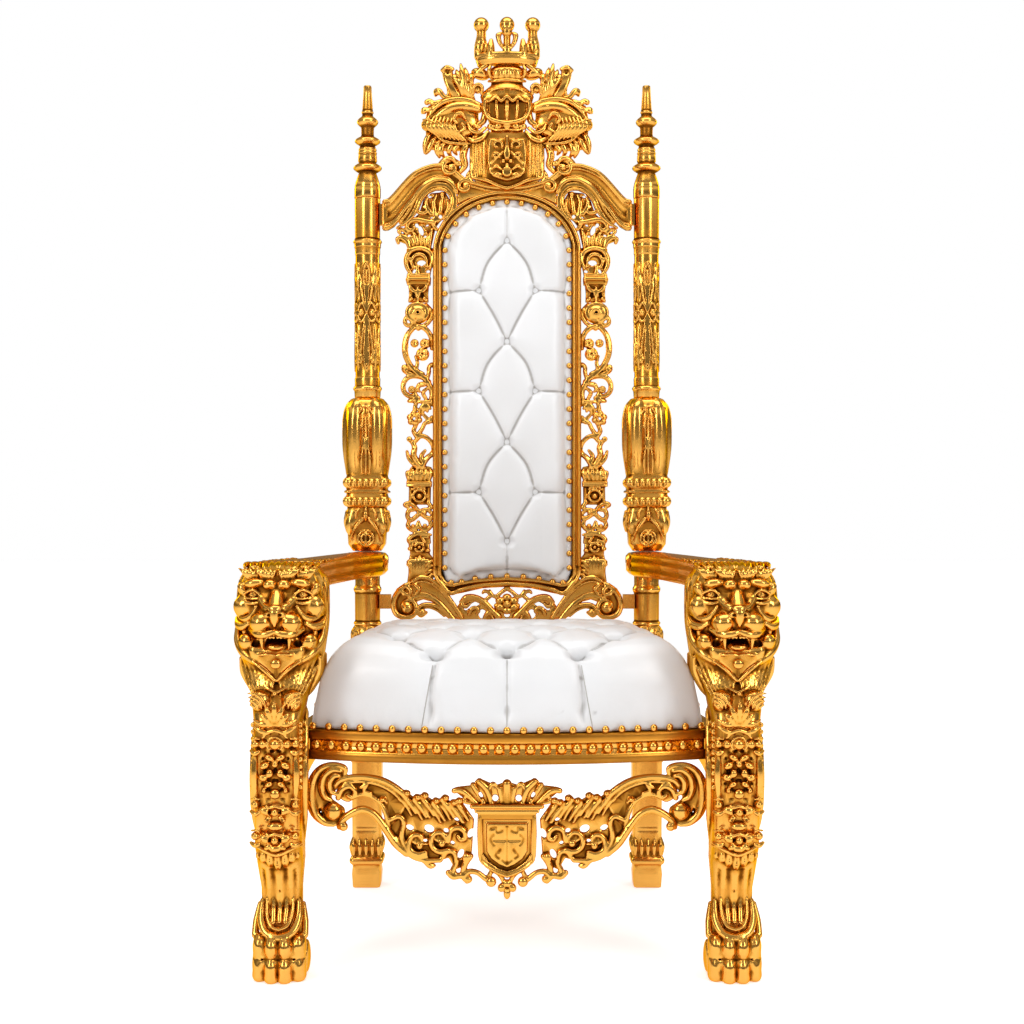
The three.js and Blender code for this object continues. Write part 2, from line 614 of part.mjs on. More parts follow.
function backFrame() {
  const left = FRET_STRAPS.map(([path, widths]) => strap(path, widths, FRET_FRONT, FRET_BACK));
  left.push(...BRACKET_STRAPS.map(([path, widths]) => strap(path, widths, FRET_FRONT, FRET_BACK)));
  left.push(...FRET_BOSSES.map(([x, z, radius]) => boss([x, z], radius, FRET_FRONT - 3, FRET_BACK)));
  left.push(...FRET_PLATES.map((plate) => slab(outline(plate), FRET_FRONT, FRET_BACK)));
  left.push(boss([-212, 583], 18, FRAME_FRONT - 3, FRET_BACK, 8));
  const openings = FRET_OPENINGS.map(([x, z, r]) => (
    slab(outline([[x - r, z], [x, z - r], [x + r, z], [x, z + r]]), FRAME_FRONT - 30, FRAME_BACK + 30)));
  const half = cut(join(left), crestRailRoom(), ...openings);
  const middle = [
    slab(archShape(ARCH_WIDE), FRAME_FRONT, FRAME_BACK, 4),
    boss([0, 590], 25, FRET_FRONT, FRET_BACK, 8),
  ];
  const opening = slab(archShape(0), FRAME_FRONT - 20, FRAME_BACK + 20);
  return cut(join([...middle, half, mirrored(half)]), opening);
}

place('back_frame', backFrame(), gold);
place('crest_rail', crestRail(), gold);

// ---- tenon blocks between the posts and the carved back -------------------------------------
function tenon(z0, z1, x1) {
  return block([-POST_X + 26, POST_Y - 16, z0], [x1, POST_Y - 2, z1]);
}

placePair('crest_tenon', tenon(1388, 1432, -262 - GAP), gold);
placePair('bracket_tenon', tenon(582, 612, -243 - GAP), gold);

// ---- crest carving --------------------------------------------------------------------------
// Outline of the left mantling, its leaf tips from the top round to the shield, and the scrolls below it.
const MANTLING = [[-40, 1640], [-76, 1684], [-90, 1722], [-100, 1728], [-104, 1702], [-122, 1718],
  [-131, 1712], [-121, 1682], [-148, 1673], [-140, 1660], [-174, 1653], [-164, 1637], [-180, 1627],
  [-170, 1611], [-182, 1597], [-170, 1583], [-156, 1577], [-150, 1562], [-174, 1541], [-142, 1546],
  [-147, 1529], [-124, 1545], [-116, 1527], [-98, 1550], [-70, 1540]];
const CREST_STRAPS = [
  [[[-70, 1500], [-98, 1486], [-124, 1492], [-132, 1508], [-108, 1512]], [16, 14, 13]],
  [[[-46, 1476], [-78, 1458], [-102, 1466], [-88, 1480]], [18, 18, 14]],
];

function crestCarving() {
  const back = CREST_BACK - 6;
  const left = CREST_STRAPS.map(([path, widths]) => strap(path, widths, CREST_FRONT + 6, back));
  left.push(slab(outline(MANTLING.toReversed()), CREST_FRONT + 6, back));
  left.push(boss([-112, 1602], 44, CREST_FRONT - 2, back, 8));
  left.push(strap([[-56, 1672], [-70, 1672]], [18, 16], CREST_FRONT + 6, back, 1));
  left.push(lump([-54, 338, 1807], [17, 15, 17]));
  left.push(strap([[-56, 1736], [-56, 1766], [-54, 1806]], [20, 28, 10], CREST_FRONT + 6, back, 2));
  left.push(strap([[-34, 1736], [-34, 1776]], [14, 7], CREST_FRONT + 6, back, 1));
  const middle = [
    lump([0, 338, 1807], [17, 15, 17]),
    strap([[0, 1736], [0, 1762], [0, 1800]], [18, 36, 10], CREST_FRONT + 6, back, 2),
    slab(outline([[-60, 1719], [60, 1719], [67, 1743], [-67, 1743]]), CREST_FRONT + 2, back),
    slab(outline([[-72, 1690], [-52, 1684], [52, 1684], [72, 1690], [74, 1706], [40, 1721],
      [-40, 1721], [-74, 1706]]),
      CREST_FRONT + 4, back),
  ];
  const helm = [[1584, 36], [1606, 36], [1636, 46], [1656, 55], [1672, 46], [1690, 34]];
  middle.push(skin(helm.map(
    ([z, half]) => levelRing(z, 0, half, 348 - half * 0.72, CREST_BACK - 3, 2.4, 8))));
  middle.push(slab(shieldShape(77, 1590, 1452), CREST_FRONT, back));
  const visor = outline([[-34, 1646], [34, 1646], [26, 1612], [0, 1603], [-26, 1612]]);
  const fields = [slab(visor, 280, 316), slab(shieldShape(47, 1573, 1474), CREST_FRONT - 6, CREST_FRONT + 4)];
  const railTop = smoothLine(CREST_RAIL_TOP, -GAP, 9);
  const seat = slab(outline([...railTop, [0, 1400], [-262, 1400]]), FRAME_FRONT - 6 - GAP, 400);
  const whole = join([...middle, ...withMirror(left)]);
  return cut(whole, ...fields, seat, mirrored(seat));
}

place('crest_carving', crestCarving(), gold);

// ---- back upholstery ------------------------------------------------------------------------
place('back_cushion', slab(archShape(-GAP), FRAME_FRONT - 9, FRAME_BACK - 1, 9), leather);
place('back_board', slab(archShape(ARCH_WIDE - 3), FRAME_BACK + GAP, FRAME_BACK + 9), leather);

export default throne;
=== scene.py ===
# A carved and gilded high-back throne with lion-head arms and a white tufted leather seat and back.
# The chair stands on the floor with its front towards -Y; carving is worked in millimetres.
import math

import bpy
import numpy as np
import openvdb as vdb
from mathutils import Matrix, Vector
from mathutils.bvhtree import BVHTree


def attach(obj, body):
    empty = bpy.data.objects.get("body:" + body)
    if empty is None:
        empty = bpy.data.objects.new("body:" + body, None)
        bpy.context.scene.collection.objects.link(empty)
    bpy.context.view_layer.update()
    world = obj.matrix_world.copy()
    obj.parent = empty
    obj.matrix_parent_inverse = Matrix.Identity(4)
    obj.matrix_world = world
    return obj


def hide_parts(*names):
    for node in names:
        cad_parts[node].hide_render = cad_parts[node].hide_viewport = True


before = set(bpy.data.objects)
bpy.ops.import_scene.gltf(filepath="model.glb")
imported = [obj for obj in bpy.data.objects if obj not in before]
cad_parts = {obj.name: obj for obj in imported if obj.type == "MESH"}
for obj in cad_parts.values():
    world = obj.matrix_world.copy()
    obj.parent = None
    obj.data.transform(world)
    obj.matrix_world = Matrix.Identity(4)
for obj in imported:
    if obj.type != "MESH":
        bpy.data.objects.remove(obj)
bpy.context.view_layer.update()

# ---- studio ---------------------------------------------------------------------------------------
# A pale floor, two tall soft boxes in front, one overhead and two behind, and walls in light and
# dark bands, so that the gilding shows bright bands with deep amber between them.
EYE_HEIGHT = 0.7976
EYE_DISTANCE = 3.018
LENS = 56.25
LENS_SHIFT_RIGHT = 0.0048828
LENS_SHIFT_DOWN = 0.0058594
FLOOR_SIZE = 40.0
FLOOR_GLOW = 0.55
FLOOR_GREY = (0.86, 0.86, 0.87, 1.0)
PAPER_WHITE = (1.0, 1.0, 1.0, 1.0)
WALL_FOOT = (0.55, 0.55, 0.55, 1.0)
WALL_HEAD = (0.8, 0.8, 0.8, 1.0)
WALL_BANDS = ((0.42, 0.55), (0.49, 0.3), (0.55, 0.14), (0.64, 0.34), (0.7, 1.1), (0.78, 0.24))

camera = bpy.data.objects.new("camera", bpy.data.cameras.new("camera"))
camera.data.lens = LENS
camera.data.sensor_width = 36.0
camera.data.shift_x = LENS_SHIFT_RIGHT
camera.data.shift_y = -LENS_SHIFT_DOWN
camera.location = (0.0, -EYE_DISTANCE, EYE_HEIGHT)
camera.rotation_euler = (math.pi / 2, 0.0, 0.0)
bpy.context.collection.objects.link(camera)
bpy.context.scene.camera = camera


def soft_box(name, place, aim, width, height, power):
    lamp = bpy.data.lights.new(name, "AREA")
    lamp.shape = "RECTANGLE"
    lamp.size, lamp.size_y, lamp.energy = width, height, power
    holder = bpy.data.objects.new(name, lamp)
    holder.location = place
    line = np.array(place) - np.array(aim)
    holder.rotation_euler = (
        math.acos(line[2] / np.linalg.norm(line)), 0.0, math.atan2(line[1], line[0]) + math.pi / 2)
    bpy.context.collection.objects.link(holder)


soft_box("soft_box_left", (-2.3, -2.6, 2.2), (0, 0, 0.8), 0.7, 2.0, 40)
soft_box("soft_box_right", (2.3, -2.6, 2.2), (0, 0, 0.8), 0.7, 2.0, 36)
soft_box("soft_box_top", (0.0, -0.4, 3.4), (0, 0, 0.5), 2.6, 1.4, 40)
soft_box("soft_box_back_left", (-2.4, 2.6, 2.0), (0, 0, 0.9), 0.8, 1.8, 22)
soft_box("soft_box_back_right", (2.4, 2.6, 2.0), (0, 0, 0.9), 0.8, 1.8, 22)
bpy.context.scene.view_settings.view_transform = "Standard"

world = bpy.data.worlds.new("studio")
bpy.context.scene.world = world
world.use_nodes = True
sky = world.node_tree
sky.nodes.clear()
seen = sky.nodes.new("ShaderNodeLightPath")
direction = sky.nodes.new("ShaderNodeTexCoord")
height = sky.nodes.new("ShaderNodeSeparateXYZ")
bands = sky.nodes.new("ShaderNodeValToRGB")
shift = sky.nodes.new("ShaderNodeMapRange")
walls = sky.nodes.new("ShaderNodeBackground")
paper = sky.nodes.new("ShaderNodeBackground")
either = sky.nodes.new("ShaderNodeMixShader")
end = sky.nodes.new("ShaderNodeOutputWorld")
paper.inputs["Color"].default_value = PAPER_WHITE
walls.inputs["Strength"].default_value = 1.0
shift.inputs["From Min"].default_value = -1.0
bands.color_ramp.elements[0].position = 0.0
bands.color_ramp.elements[0].color = WALL_FOOT
bands.color_ramp.elements[1].position = 1.0
bands.color_ramp.elements[1].color = WALL_HEAD
for spot, shade in WALL_BANDS:
    bands.color_ramp.elements.new(spot).color = (shade, shade, shade * 0.98, 1.0)
sky.links.new(direction.outputs["Generated"], height.inputs[0])
sky.links.new(height.outputs["Z"], shift.inputs["Value"])
sky.links.new(shift.outputs["Result"], bands.inputs["Fac"])
sky.links.new(bands.outputs["Color"], walls.inputs["Color"])
sky.links.new(seen.outputs["Is Camera Ray"], either.inputs["Fac"])
sky.links.new(walls.outputs[0], either.inputs[1])
sky.links.new(paper.outputs[0], either.inputs[2])
sky.links.new(either.outputs[0], end.inputs["Surface"])

floor_mesh = bpy.data.meshes.new("floor")
half = FLOOR_SIZE / 2
floor_mesh.from_pydata([(-half, -half, 0), (half, -half, 0), (half, half, 0), (-half, half, 0)], [],
        [(0, 1, 2, 3)])
floor = bpy.data.objects.new("floor", floor_mesh)
bpy.context.collection.objects.link(floor)
floor_paint = bpy.data.materials.new("floor_paint")
floor_paint.use_nodes = True
floor_body = floor_paint.node_tree.nodes["Principled BSDF"]
floor_body.inputs["Base Color"].default_value = FLOOR_GREY
floor_body.inputs["Roughness"].default_value = 0.55
floor_body.inputs["Emission Color"].default_value = PAPER_WHITE
floor_body.inputs["Emission Strength"].default_value = FLOOR_GLOW
floor_mesh.materials.append(floor_paint)

# ---- lion legs ------------------------------------------------------------------------------------
# Each front leg is one length of hardwood carved from the paw up to the lion's head, gessoed,
# gilded and burnished, with painted brown shade in the hollows. The right one mirrors the left.
LEG_X = 383.0
LEG_SECTIONS = [
    # height, half width, front, back, squareness
    (0, 37, -334, -262, 3), (14, 40, -334, -255, 3), (62, 39, -320, -248, 2.6), (84, 36, -314, -250, 2.4),
    (110, 34.5, -316, -253, 2.4), (150, 35, -321, -256, 2.6), (200, 40, -342, -262, 3),
    (225, 40, -358, -266, 4), (262, 40, -366, -275, 4), (340, 40.5, -374, -286, 4),
    (440, 40, -374, -281, 4), (484, 48, -362, -262, 2.8), (520, 61, -345, -242, 2.6),
    (570, 66, -335, -232, 3), (625, 70, -330, -227, 3), (680, 70, -326, -226, 3),
    (692, 62, -318, -229, 2.8), (699, 50, -306, -236, 2.6)]


def curve_through(points, steps):
    """Points of a smooth curve through the given ones, any number of columns."""
    rows = np.array(points, float)
    if steps < 2 or len(rows) < 3:
        return rows
    padded = np.vstack([2 * rows[0] - rows[1], rows, 2 * rows[-1] - rows[-2]])
    t = np.linspace(0, 1, steps, endpoint=False)[:, None]
    parts = []
    for a, b, c, d in zip(padded, padded[1:], padded[2:], padded[3:]):
        parts.append(0.5 * (2 * b + (c - a) * t + (2 * a - 5 * b + 4 * c - d) * t ** 2
                            + (3 * b - a - 3 * c + d) * t ** 3))
    return np.vstack(parts + [rows[-1:]])


def ring(x, z, wide, tall, start, end, count):
    """Points of an arc or a full turn on the front, by its middle, its reach and its angles."""
    return [(x + wide * math.cos(a), z + tall * math.sin(a)) for a in np.linspace(start, end, count)]


class Clay:
    """A carved form worked up on a fine grid; with mirror, only its +X half is worked."""

    def __init__(self, low, high, step, mirror=False):
        self.low = np.array(low, float)
        self.step = step
        self.mirror = mirror
        counts = np.ceil((np.array(high) - self.low) / step).astype(int) + 1
        self.field = np.full(counts, 30.0, np.float32)

    def window(self, low, high):
        first = np.clip(((np.array(low) - self.low) / self.step).astype(int), 0, None)
        last = np.minimum(((np.array(high) - self.low) / self.step).astype(int) + 2, self.field.shape)
        last = np.maximum(last, first)
        axes = [(self.low[i] + self.step * np.arange(first[i], last[i])).astype(np.float32)
                for i in range(3)]
        slot = tuple(slice(a, b) for a, b in zip(first, last))
        return slot, (axes[0][:, None, None], axes[1][None, :, None], axes[2][None, None, :])

    def merge(self, slot, shape, blend, cut):
        old = self.field[slot]
        if old.size == 0:
            return
        if cut:
            old = -old
        soft = np.maximum(blend - np.abs(old - shape), 0) / max(blend, 0.01)
        new = np.minimum(old, shape) - soft * soft * blend / 4
        self.field[slot] = -new if cut else new

    def blob(self, centre, radii, turn=0.0, lean=0.0, blend=3.0, cut=False):
        """An egg; turn rolls it in the plane of the front, lean tips it forward or back."""
        centre = np.array(centre, float)
        reach = max(radii) + blend + 2 * self.step
        slot, (x, y, z) = self.window(centre - reach, centre + reach)
        x, y, z = x - centre[0], y - centre[1], z - centre[2]
        ct, st, cl, sl = math.cos(turn), math.sin(turn), math.cos(lean), math.sin(lean)
        u = x * ct + z * st
        w = z * ct - x * st
        v, w = y * cl - w * sl, w * cl + y * sl
        rx, ry, rz = radii
        near = np.sqrt((u / rx) ** 2 + (v / ry) ** 2 + (w / rz) ** 2)
        slope = np.sqrt((u / rx ** 2) ** 2 + (v / ry ** 2) ** 2 + (w / rz ** 2) ** 2)
        self.merge(slot, near * (near - 1) / np.maximum(slope, 1e-6), blend, cut)

    def rope(self, points, radii, blend=2.0, cut=False, flat=1.0, steps=4):
        """A round stroke through the points; flat squeezes it front to back."""
        if np.isscalar(radii):
            radii = [radii] * len(points)
        path = curve_through([(*p, r) for p, r in zip(points, radii)], steps)
        margin = path[:, 3].max() * max(1, flat) + blend + 2 * self.step
        slot, _ = self.window(path[:, :3].min(0) - margin, path[:, :3].max(0) + margin)
        best = np.full(self.field[slot].shape, 30.0, np.float32)
        offset = [part.start for part in slot]
        for a, b in zip(path, path[1:]):
            low, high = np.minimum(a, b)[:3] - margin, np.maximum(a, b)[:3] + margin
            part, (x, y, z) = self.window(low, high)
            line = b[:3] - a[:3]
            scale = np.array([1.0, 1.0 / flat, 1.0])
            line = line * scale
            square = max(float(line @ line), 1e-6)
            x, y, z = x - a[0], (y - a[1]) / flat, z - a[2]
            t = np.clip((x * line[0] + y * line[1] + z * line[2]) / square, 0, 1)
            gap = np.sqrt((x - t * line[0]) ** 2 + (y - t * line[1]) ** 2 + (z - t * line[2]) ** 2)
            gap = (gap - (a[3] + t * (b[3] - a[3]))) * min(1.0, flat)
            inner = tuple(slice(p.start - o, p.stop - o) for p, o in zip(part, offset))
            best[inner] = np.minimum(best[inner], gap)
        self.merge(slot, best, blend, cut)

    def sections(self, levels, centre_x=0.0, blend=0.0, cut=False):
        """A body given by half width, front, back and squareness at a list of heights."""
        rows = np.array(levels, float)
        wide = rows[:, 1].max() + 12
        slot, (x, y, z) = self.window(
            (centre_x - wide, rows[:, 2].min() - 12, rows[0, 0] - 12),
            (centre_x + wide, rows[:, 3].max() + 12, rows[-1, 0] + 12))
        flat_z = z.ravel()
        half_x, front, back, power = (np.interp(flat_z, rows[:, 0], rows[:, i])[None, None, :]
                for i in range(1, 5))
        half_y = (back - front) / 2
        u = np.abs(x - centre_x) / half_x
        v = np.abs(y - (front + back) / 2) / half_y
        around = ((u ** power + v ** power) ** (1 / power) - 1) * np.minimum(half_x, half_y)
        ends = np.maximum(rows[0, 0] - z, z - rows[-1, 0])
        self.merge(slot, np.maximum(around, ends).astype(np.float32), blend, cut)

    def plate(self, outline, front, back, edge=2.0, blend=0.5, cut=False, steps=1):
        """A flat shape in the plane of the front, given by its outline, with eased edges."""
        rows = curve_through(list(outline) + [outline[0]], steps)[:-1] if steps > 1 else np.array(outline,
                float)
        margin = blend + 2 * self.step
        low, high = rows.min(0) - margin, rows.max(0) + margin
        slot, (x, y, z) = self.window((low[0], front - margin, low[1]), (high[0], back + margin, high[1]))
        flat_x, flat_z = x[:, 0, :], z[0]
        near = np.full((x.shape[0], z.shape[2]), 1e6)
        inside = np.zeros(near.shape, bool)
        for a, b in zip(rows, np.roll(rows, -1, 0)):
            run, rise = b - a
            t = np.clip(((flat_x - a[0]) * run + (flat_z - a[1]) * rise) / max(run * run + rise * rise,
                    1e-9), 0, 1)
            near = np.minimum(near, (flat_x - a[0] - t * run) ** 2 + (flat_z - a[1] - t * rise) ** 2)
            if rise:
                inside ^= ((a[1] > flat_z) != (b[1] > flat_z)) & (flat_x < run * (flat_z - a[1]) / rise
                        + a[0])
        side = np.where(inside, -1, 1) * np.sqrt(near)[:, :] + edge
        side = side[:, None, :]
        deep = np.abs(y - (front + back) / 2) - (back - front) / 2 + edge
        shape = np.minimum(np.maximum(side, deep), 0) - edge + np.sqrt(
            np.maximum(side, 0) ** 2 + np.maximum(deep, 0) ** 2)
        self.merge(slot, shape.astype(np.float32), blend, cut)

    def ribbon(self, points, depth, radii, **how):
        """A stroke drawn on the front at one depth; points are across and up."""
        self.rope([(x, depth, z) for x, z in points], radii, **how)

    def solid(self):
        """Corners in metres and four-sided faces of the finished form."""
        field = self.field
        low = self.low.copy()
        if self.mirror:
            field = np.concatenate([field[:0:-1], field])
            low[0] = low[0] - self.step * (self.field.shape[0] - 1)
        pad = np.pad(np.clip(field, -3 * self.step, 3 * self.step), 1, constant_values=3 * self.step)
        grid = vdb.FloatGrid(3 * self.step)
        grid.copyFromArray(pad)
        points, quads = grid.convertToQuads(0.0)
        return ((points - 1) * self.step + low) / 1000, quads


FINE_EDGE = 0.0024
SMOOTHING_TURNS = 14
FINE_HOLLOWS = (3, 600)
BROAD_HOLLOWS = (13, 320)


def mark_painted_shade(mesh):
    """Store how deep in a hollow each corner lies, for the painted shade that darkens the hollows of the
    gilding and the leather.
    """
    count = len(mesh.vertices)
    place = np.empty(count * 3, np.float32)
    facing = np.empty(count * 3, np.float32)
    mesh.vertices.foreach_get("co", place)
    mesh.vertices.foreach_get("normal", facing)
    place, facing = place.reshape(-1, 3).astype(float), facing.reshape(-1, 3)
    edges = np.empty(len(mesh.edges) * 2, np.int32)
    mesh.edges.foreach_get("vertices", edges)
    a, b = edges.reshape(-1, 2).T
    share = np.maximum(np.bincount(a, minlength=count) + np.bincount(b, minlength=count), 1)
    depth = np.zeros(count)
    spread = place.copy()
    for turn in range(SMOOTHING_TURNS):
        total = np.stack([np.bincount(a, spread[b, i], count) + np.bincount(b, spread[a, i], count)
                          for i in range(3)], 1)
        spread = 0.3 * spread + 0.7 * total / share[:, None]
        for moment, weight in (FINE_HOLLOWS, BROAD_HOLLOWS):
            if turn == moment:
                depth += ((spread - place) * facing).sum(1) * weight
    length = ((place[a] - place[b]) ** 2).sum(1)
    square = (np.bincount(a, length, count) + np.bincount(b, length, count)) / share
    depth *= np.minimum(1, FINE_EDGE ** 2 / np.maximum(square, 1e-12))
    value = np.clip(0.25 + depth, 0, 1)
    for turn in range(2):
        value = 0.5 * value + 0.5 * (np.bincount(a, value[b], count)
                + np.bincount(b, value[a], count)) / share
    # stored as 'hollow'; the materials paint shade into the hollows from it
    layer = mesh.attributes.new("hollow", "FLOAT", "POINT")
    layer.data.foreach_set("value", value.astype(np.float32))


def thinned(piece, triangles):
    """Bring a piece down to about so many triangles, keeping more of them where it curves."""
    mesh = piece.data
    mesh.calc_loop_triangles()
    if len(mesh.loop_triangles) <= triangles:
        return
    thin = piece.modifiers.new("thin", "DECIMATE")
    thin.ratio = triangles / len(mesh.loop_triangles)
    bpy.context.view_layer.update()
    piece.data = bpy.data.meshes.new_from_object(piece.evaluated_get(bpy.context.evaluated_depsgraph_get()))
    piece.modifiers.clear()
    bpy.data.meshes.remove(mesh)
    piece.data.name = piece.name


MOST_TRIANGLES = 200000


def make_piece(name, forms, material, nodes, triangles=MOST_TRIANGLES):
    """Join forms of corners and faces into one piece, thin it to so many triangles and dress it."""
    corners, faces, count = [], [], 0
    for points, sides in forms:
        corners.append(np.asarray(points, float))
        faces.extend([tuple(int(i) + count for i in side) for side in sides])
        count += len(points)
    mesh = bpy.data.meshes.new(name)
    mesh.from_pydata(np.vstack(corners), [], faces)
    mesh.update()
    piece = bpy.data.objects.new(name, mesh)
    bpy.context.collection.objects.link(piece)
    thinned(piece, triangles)
    mesh = piece.data
    mesh.polygons.foreach_set("use_smooth", [True] * len(mesh.polygons))
    mark_painted_shade(mesh)
    mesh.materials.clear()
    mesh.materials.append(material)
    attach(piece, "root")
    if nodes:
        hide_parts(*nodes)
    return piece


def mirror_piece(piece, name, nodes):
    """The same piece for the other side of the chair."""
    mesh = piece.data.copy()
    mesh.name = name
    place = np.empty(len(mesh.vertices) * 3, np.float32)
    mesh.vertices.foreach_get("co", place)
    place[0::3] *= -1
    mesh.vertices.foreach_set("co", place)
    mesh.flip_normals()
    mesh.update()
    twin = bpy.data.objects.new(name, mesh)
    bpy.context.collection.objects.link(twin)
    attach(twin, "root")
    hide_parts(*nodes)
    return twin


def make_pair(clay, x, y, name, node, triangles):
    """A carved piece set at x and y on the right, and its mirror twin on the left."""
    corners, sides = clay.solid()
    right = make_piece(name + "_right", [(corners + (x / 1000, y / 1000, 0), sides)], gold,
                       [node + "_right"], triangles)
    mirror_piece(right, name + "_left", [node + "_left"])


def shader_node(tree, kind, values=None, **settings):
    node = tree.nodes.new(kind)
    for key, value in settings.items():
        setattr(node, key, value)
    for key, value in (values or {}).items():
        node.inputs[key].default_value = value
    return node


GOLD_BRIGHT = (0.74, 0.37, 0.072, 1)
GOLD_AMBER = (0.6, 0.26, 0.034, 1)
# painted shade: the next two colours darken the gold to brown, then near black, deeper in the hollows
GOLD_HOLLOW_SHADE = (0.2, 0.065, 0.005, 1)
GOLD_DEEP_SHADE = (0.05, 0.015, 0.0015, 1)
GOLD_EDGE_TINT = (1.0, 0.66, 0.25, 1.0)


def gilding():
    """Burnished gold, darker with painted shade and duller in the hollows."""
    paint = bpy.data.materials.new("gilding")
    paint.use_nodes = True
    tree = paint.node_tree
    body = tree.nodes["Principled BSDF"]
    body.inputs["Metallic"].default_value = 1.0
    body.inputs["Specular Tint"].default_value = GOLD_EDGE_TINT
    place = shader_node(tree, "ShaderNodeTexCoord")
    hollow = shader_node(tree, "ShaderNodeAttribute", attribute_name="hollow")
    cloud = shader_node(tree, "ShaderNodeTexNoise", {"Scale": 22.0, "Detail": 4.0})
    # random cloud plus hollow depth: real tone variation and painted shade in one value
    tone_and_shade = shader_node(tree, "ShaderNodeMath", {1: 0.12}, operation="MULTIPLY_ADD")
    deep = shader_node(tree, "ShaderNodeValToRGB")
    ramp = deep.color_ramp
    # the ramp paints shade: bright gold on open surfaces, then amber, brown and near black deeper in the
    # hollows
    ramp.elements[0].position, ramp.elements[0].color = 0.25, GOLD_BRIGHT
    ramp.elements[1].position, ramp.elements[1].color = 1.0, GOLD_DEEP_SHADE
    ramp.elements.new(0.42).color = GOLD_AMBER
    ramp.elements.new(0.66).color = GOLD_HOLLOW_SHADE
    dull = shader_node(tree, "ShaderNodeMapRange",
            {"From Min": 0.2, "From Max": 0.8, "To Min": 0.17, "To Max": 0.5})
    hand = shader_node(tree, "ShaderNodeTexNoise", {"Scale": 95.0, "Detail": 2.0})
    relief = shader_node(tree, "ShaderNodeBump", {"Strength": 0.12, "Distance": 0.0012})
    link = tree.links.new
    link(place.outputs["Object"], cloud.inputs["Vector"])
    link(place.outputs["Object"], hand.inputs["Vector"])
    link(cloud.outputs["Fac"], tone_and_shade.inputs[0])
    link(hollow.outputs["Fac"], tone_and_shade.inputs[2])
    link(tone_and_shade.outputs[0], deep.inputs["Fac"])
    link(deep.outputs["Color"], body.inputs["Base Color"])
    link(tone_and_shade.outputs[0], dull.inputs["Value"])
    link(dull.outputs["Result"], body.inputs["Roughness"])
    link(hand.outputs["Fac"], relief.inputs["Height"])
    link(relief.outputs["Normal"], body.inputs["Normal"])
    return paint


gold = gilding()


def on_leg(x, z, lift=0.0):
    """A point on the front of the leg's body, raised by lift."""
    rows = np.array(LEG_SECTIONS, float)
    half, front, back, power = (float(np.interp(z, rows[:, 0], rows[:, i])) for i in range(1, 5))
    bend = max(1 - min(abs(x) / half, 1.0) ** power, 0.0) ** (1 / power)
    return (x, (front + back) / 2 - (back - front) / 2 * bend - lift, z)


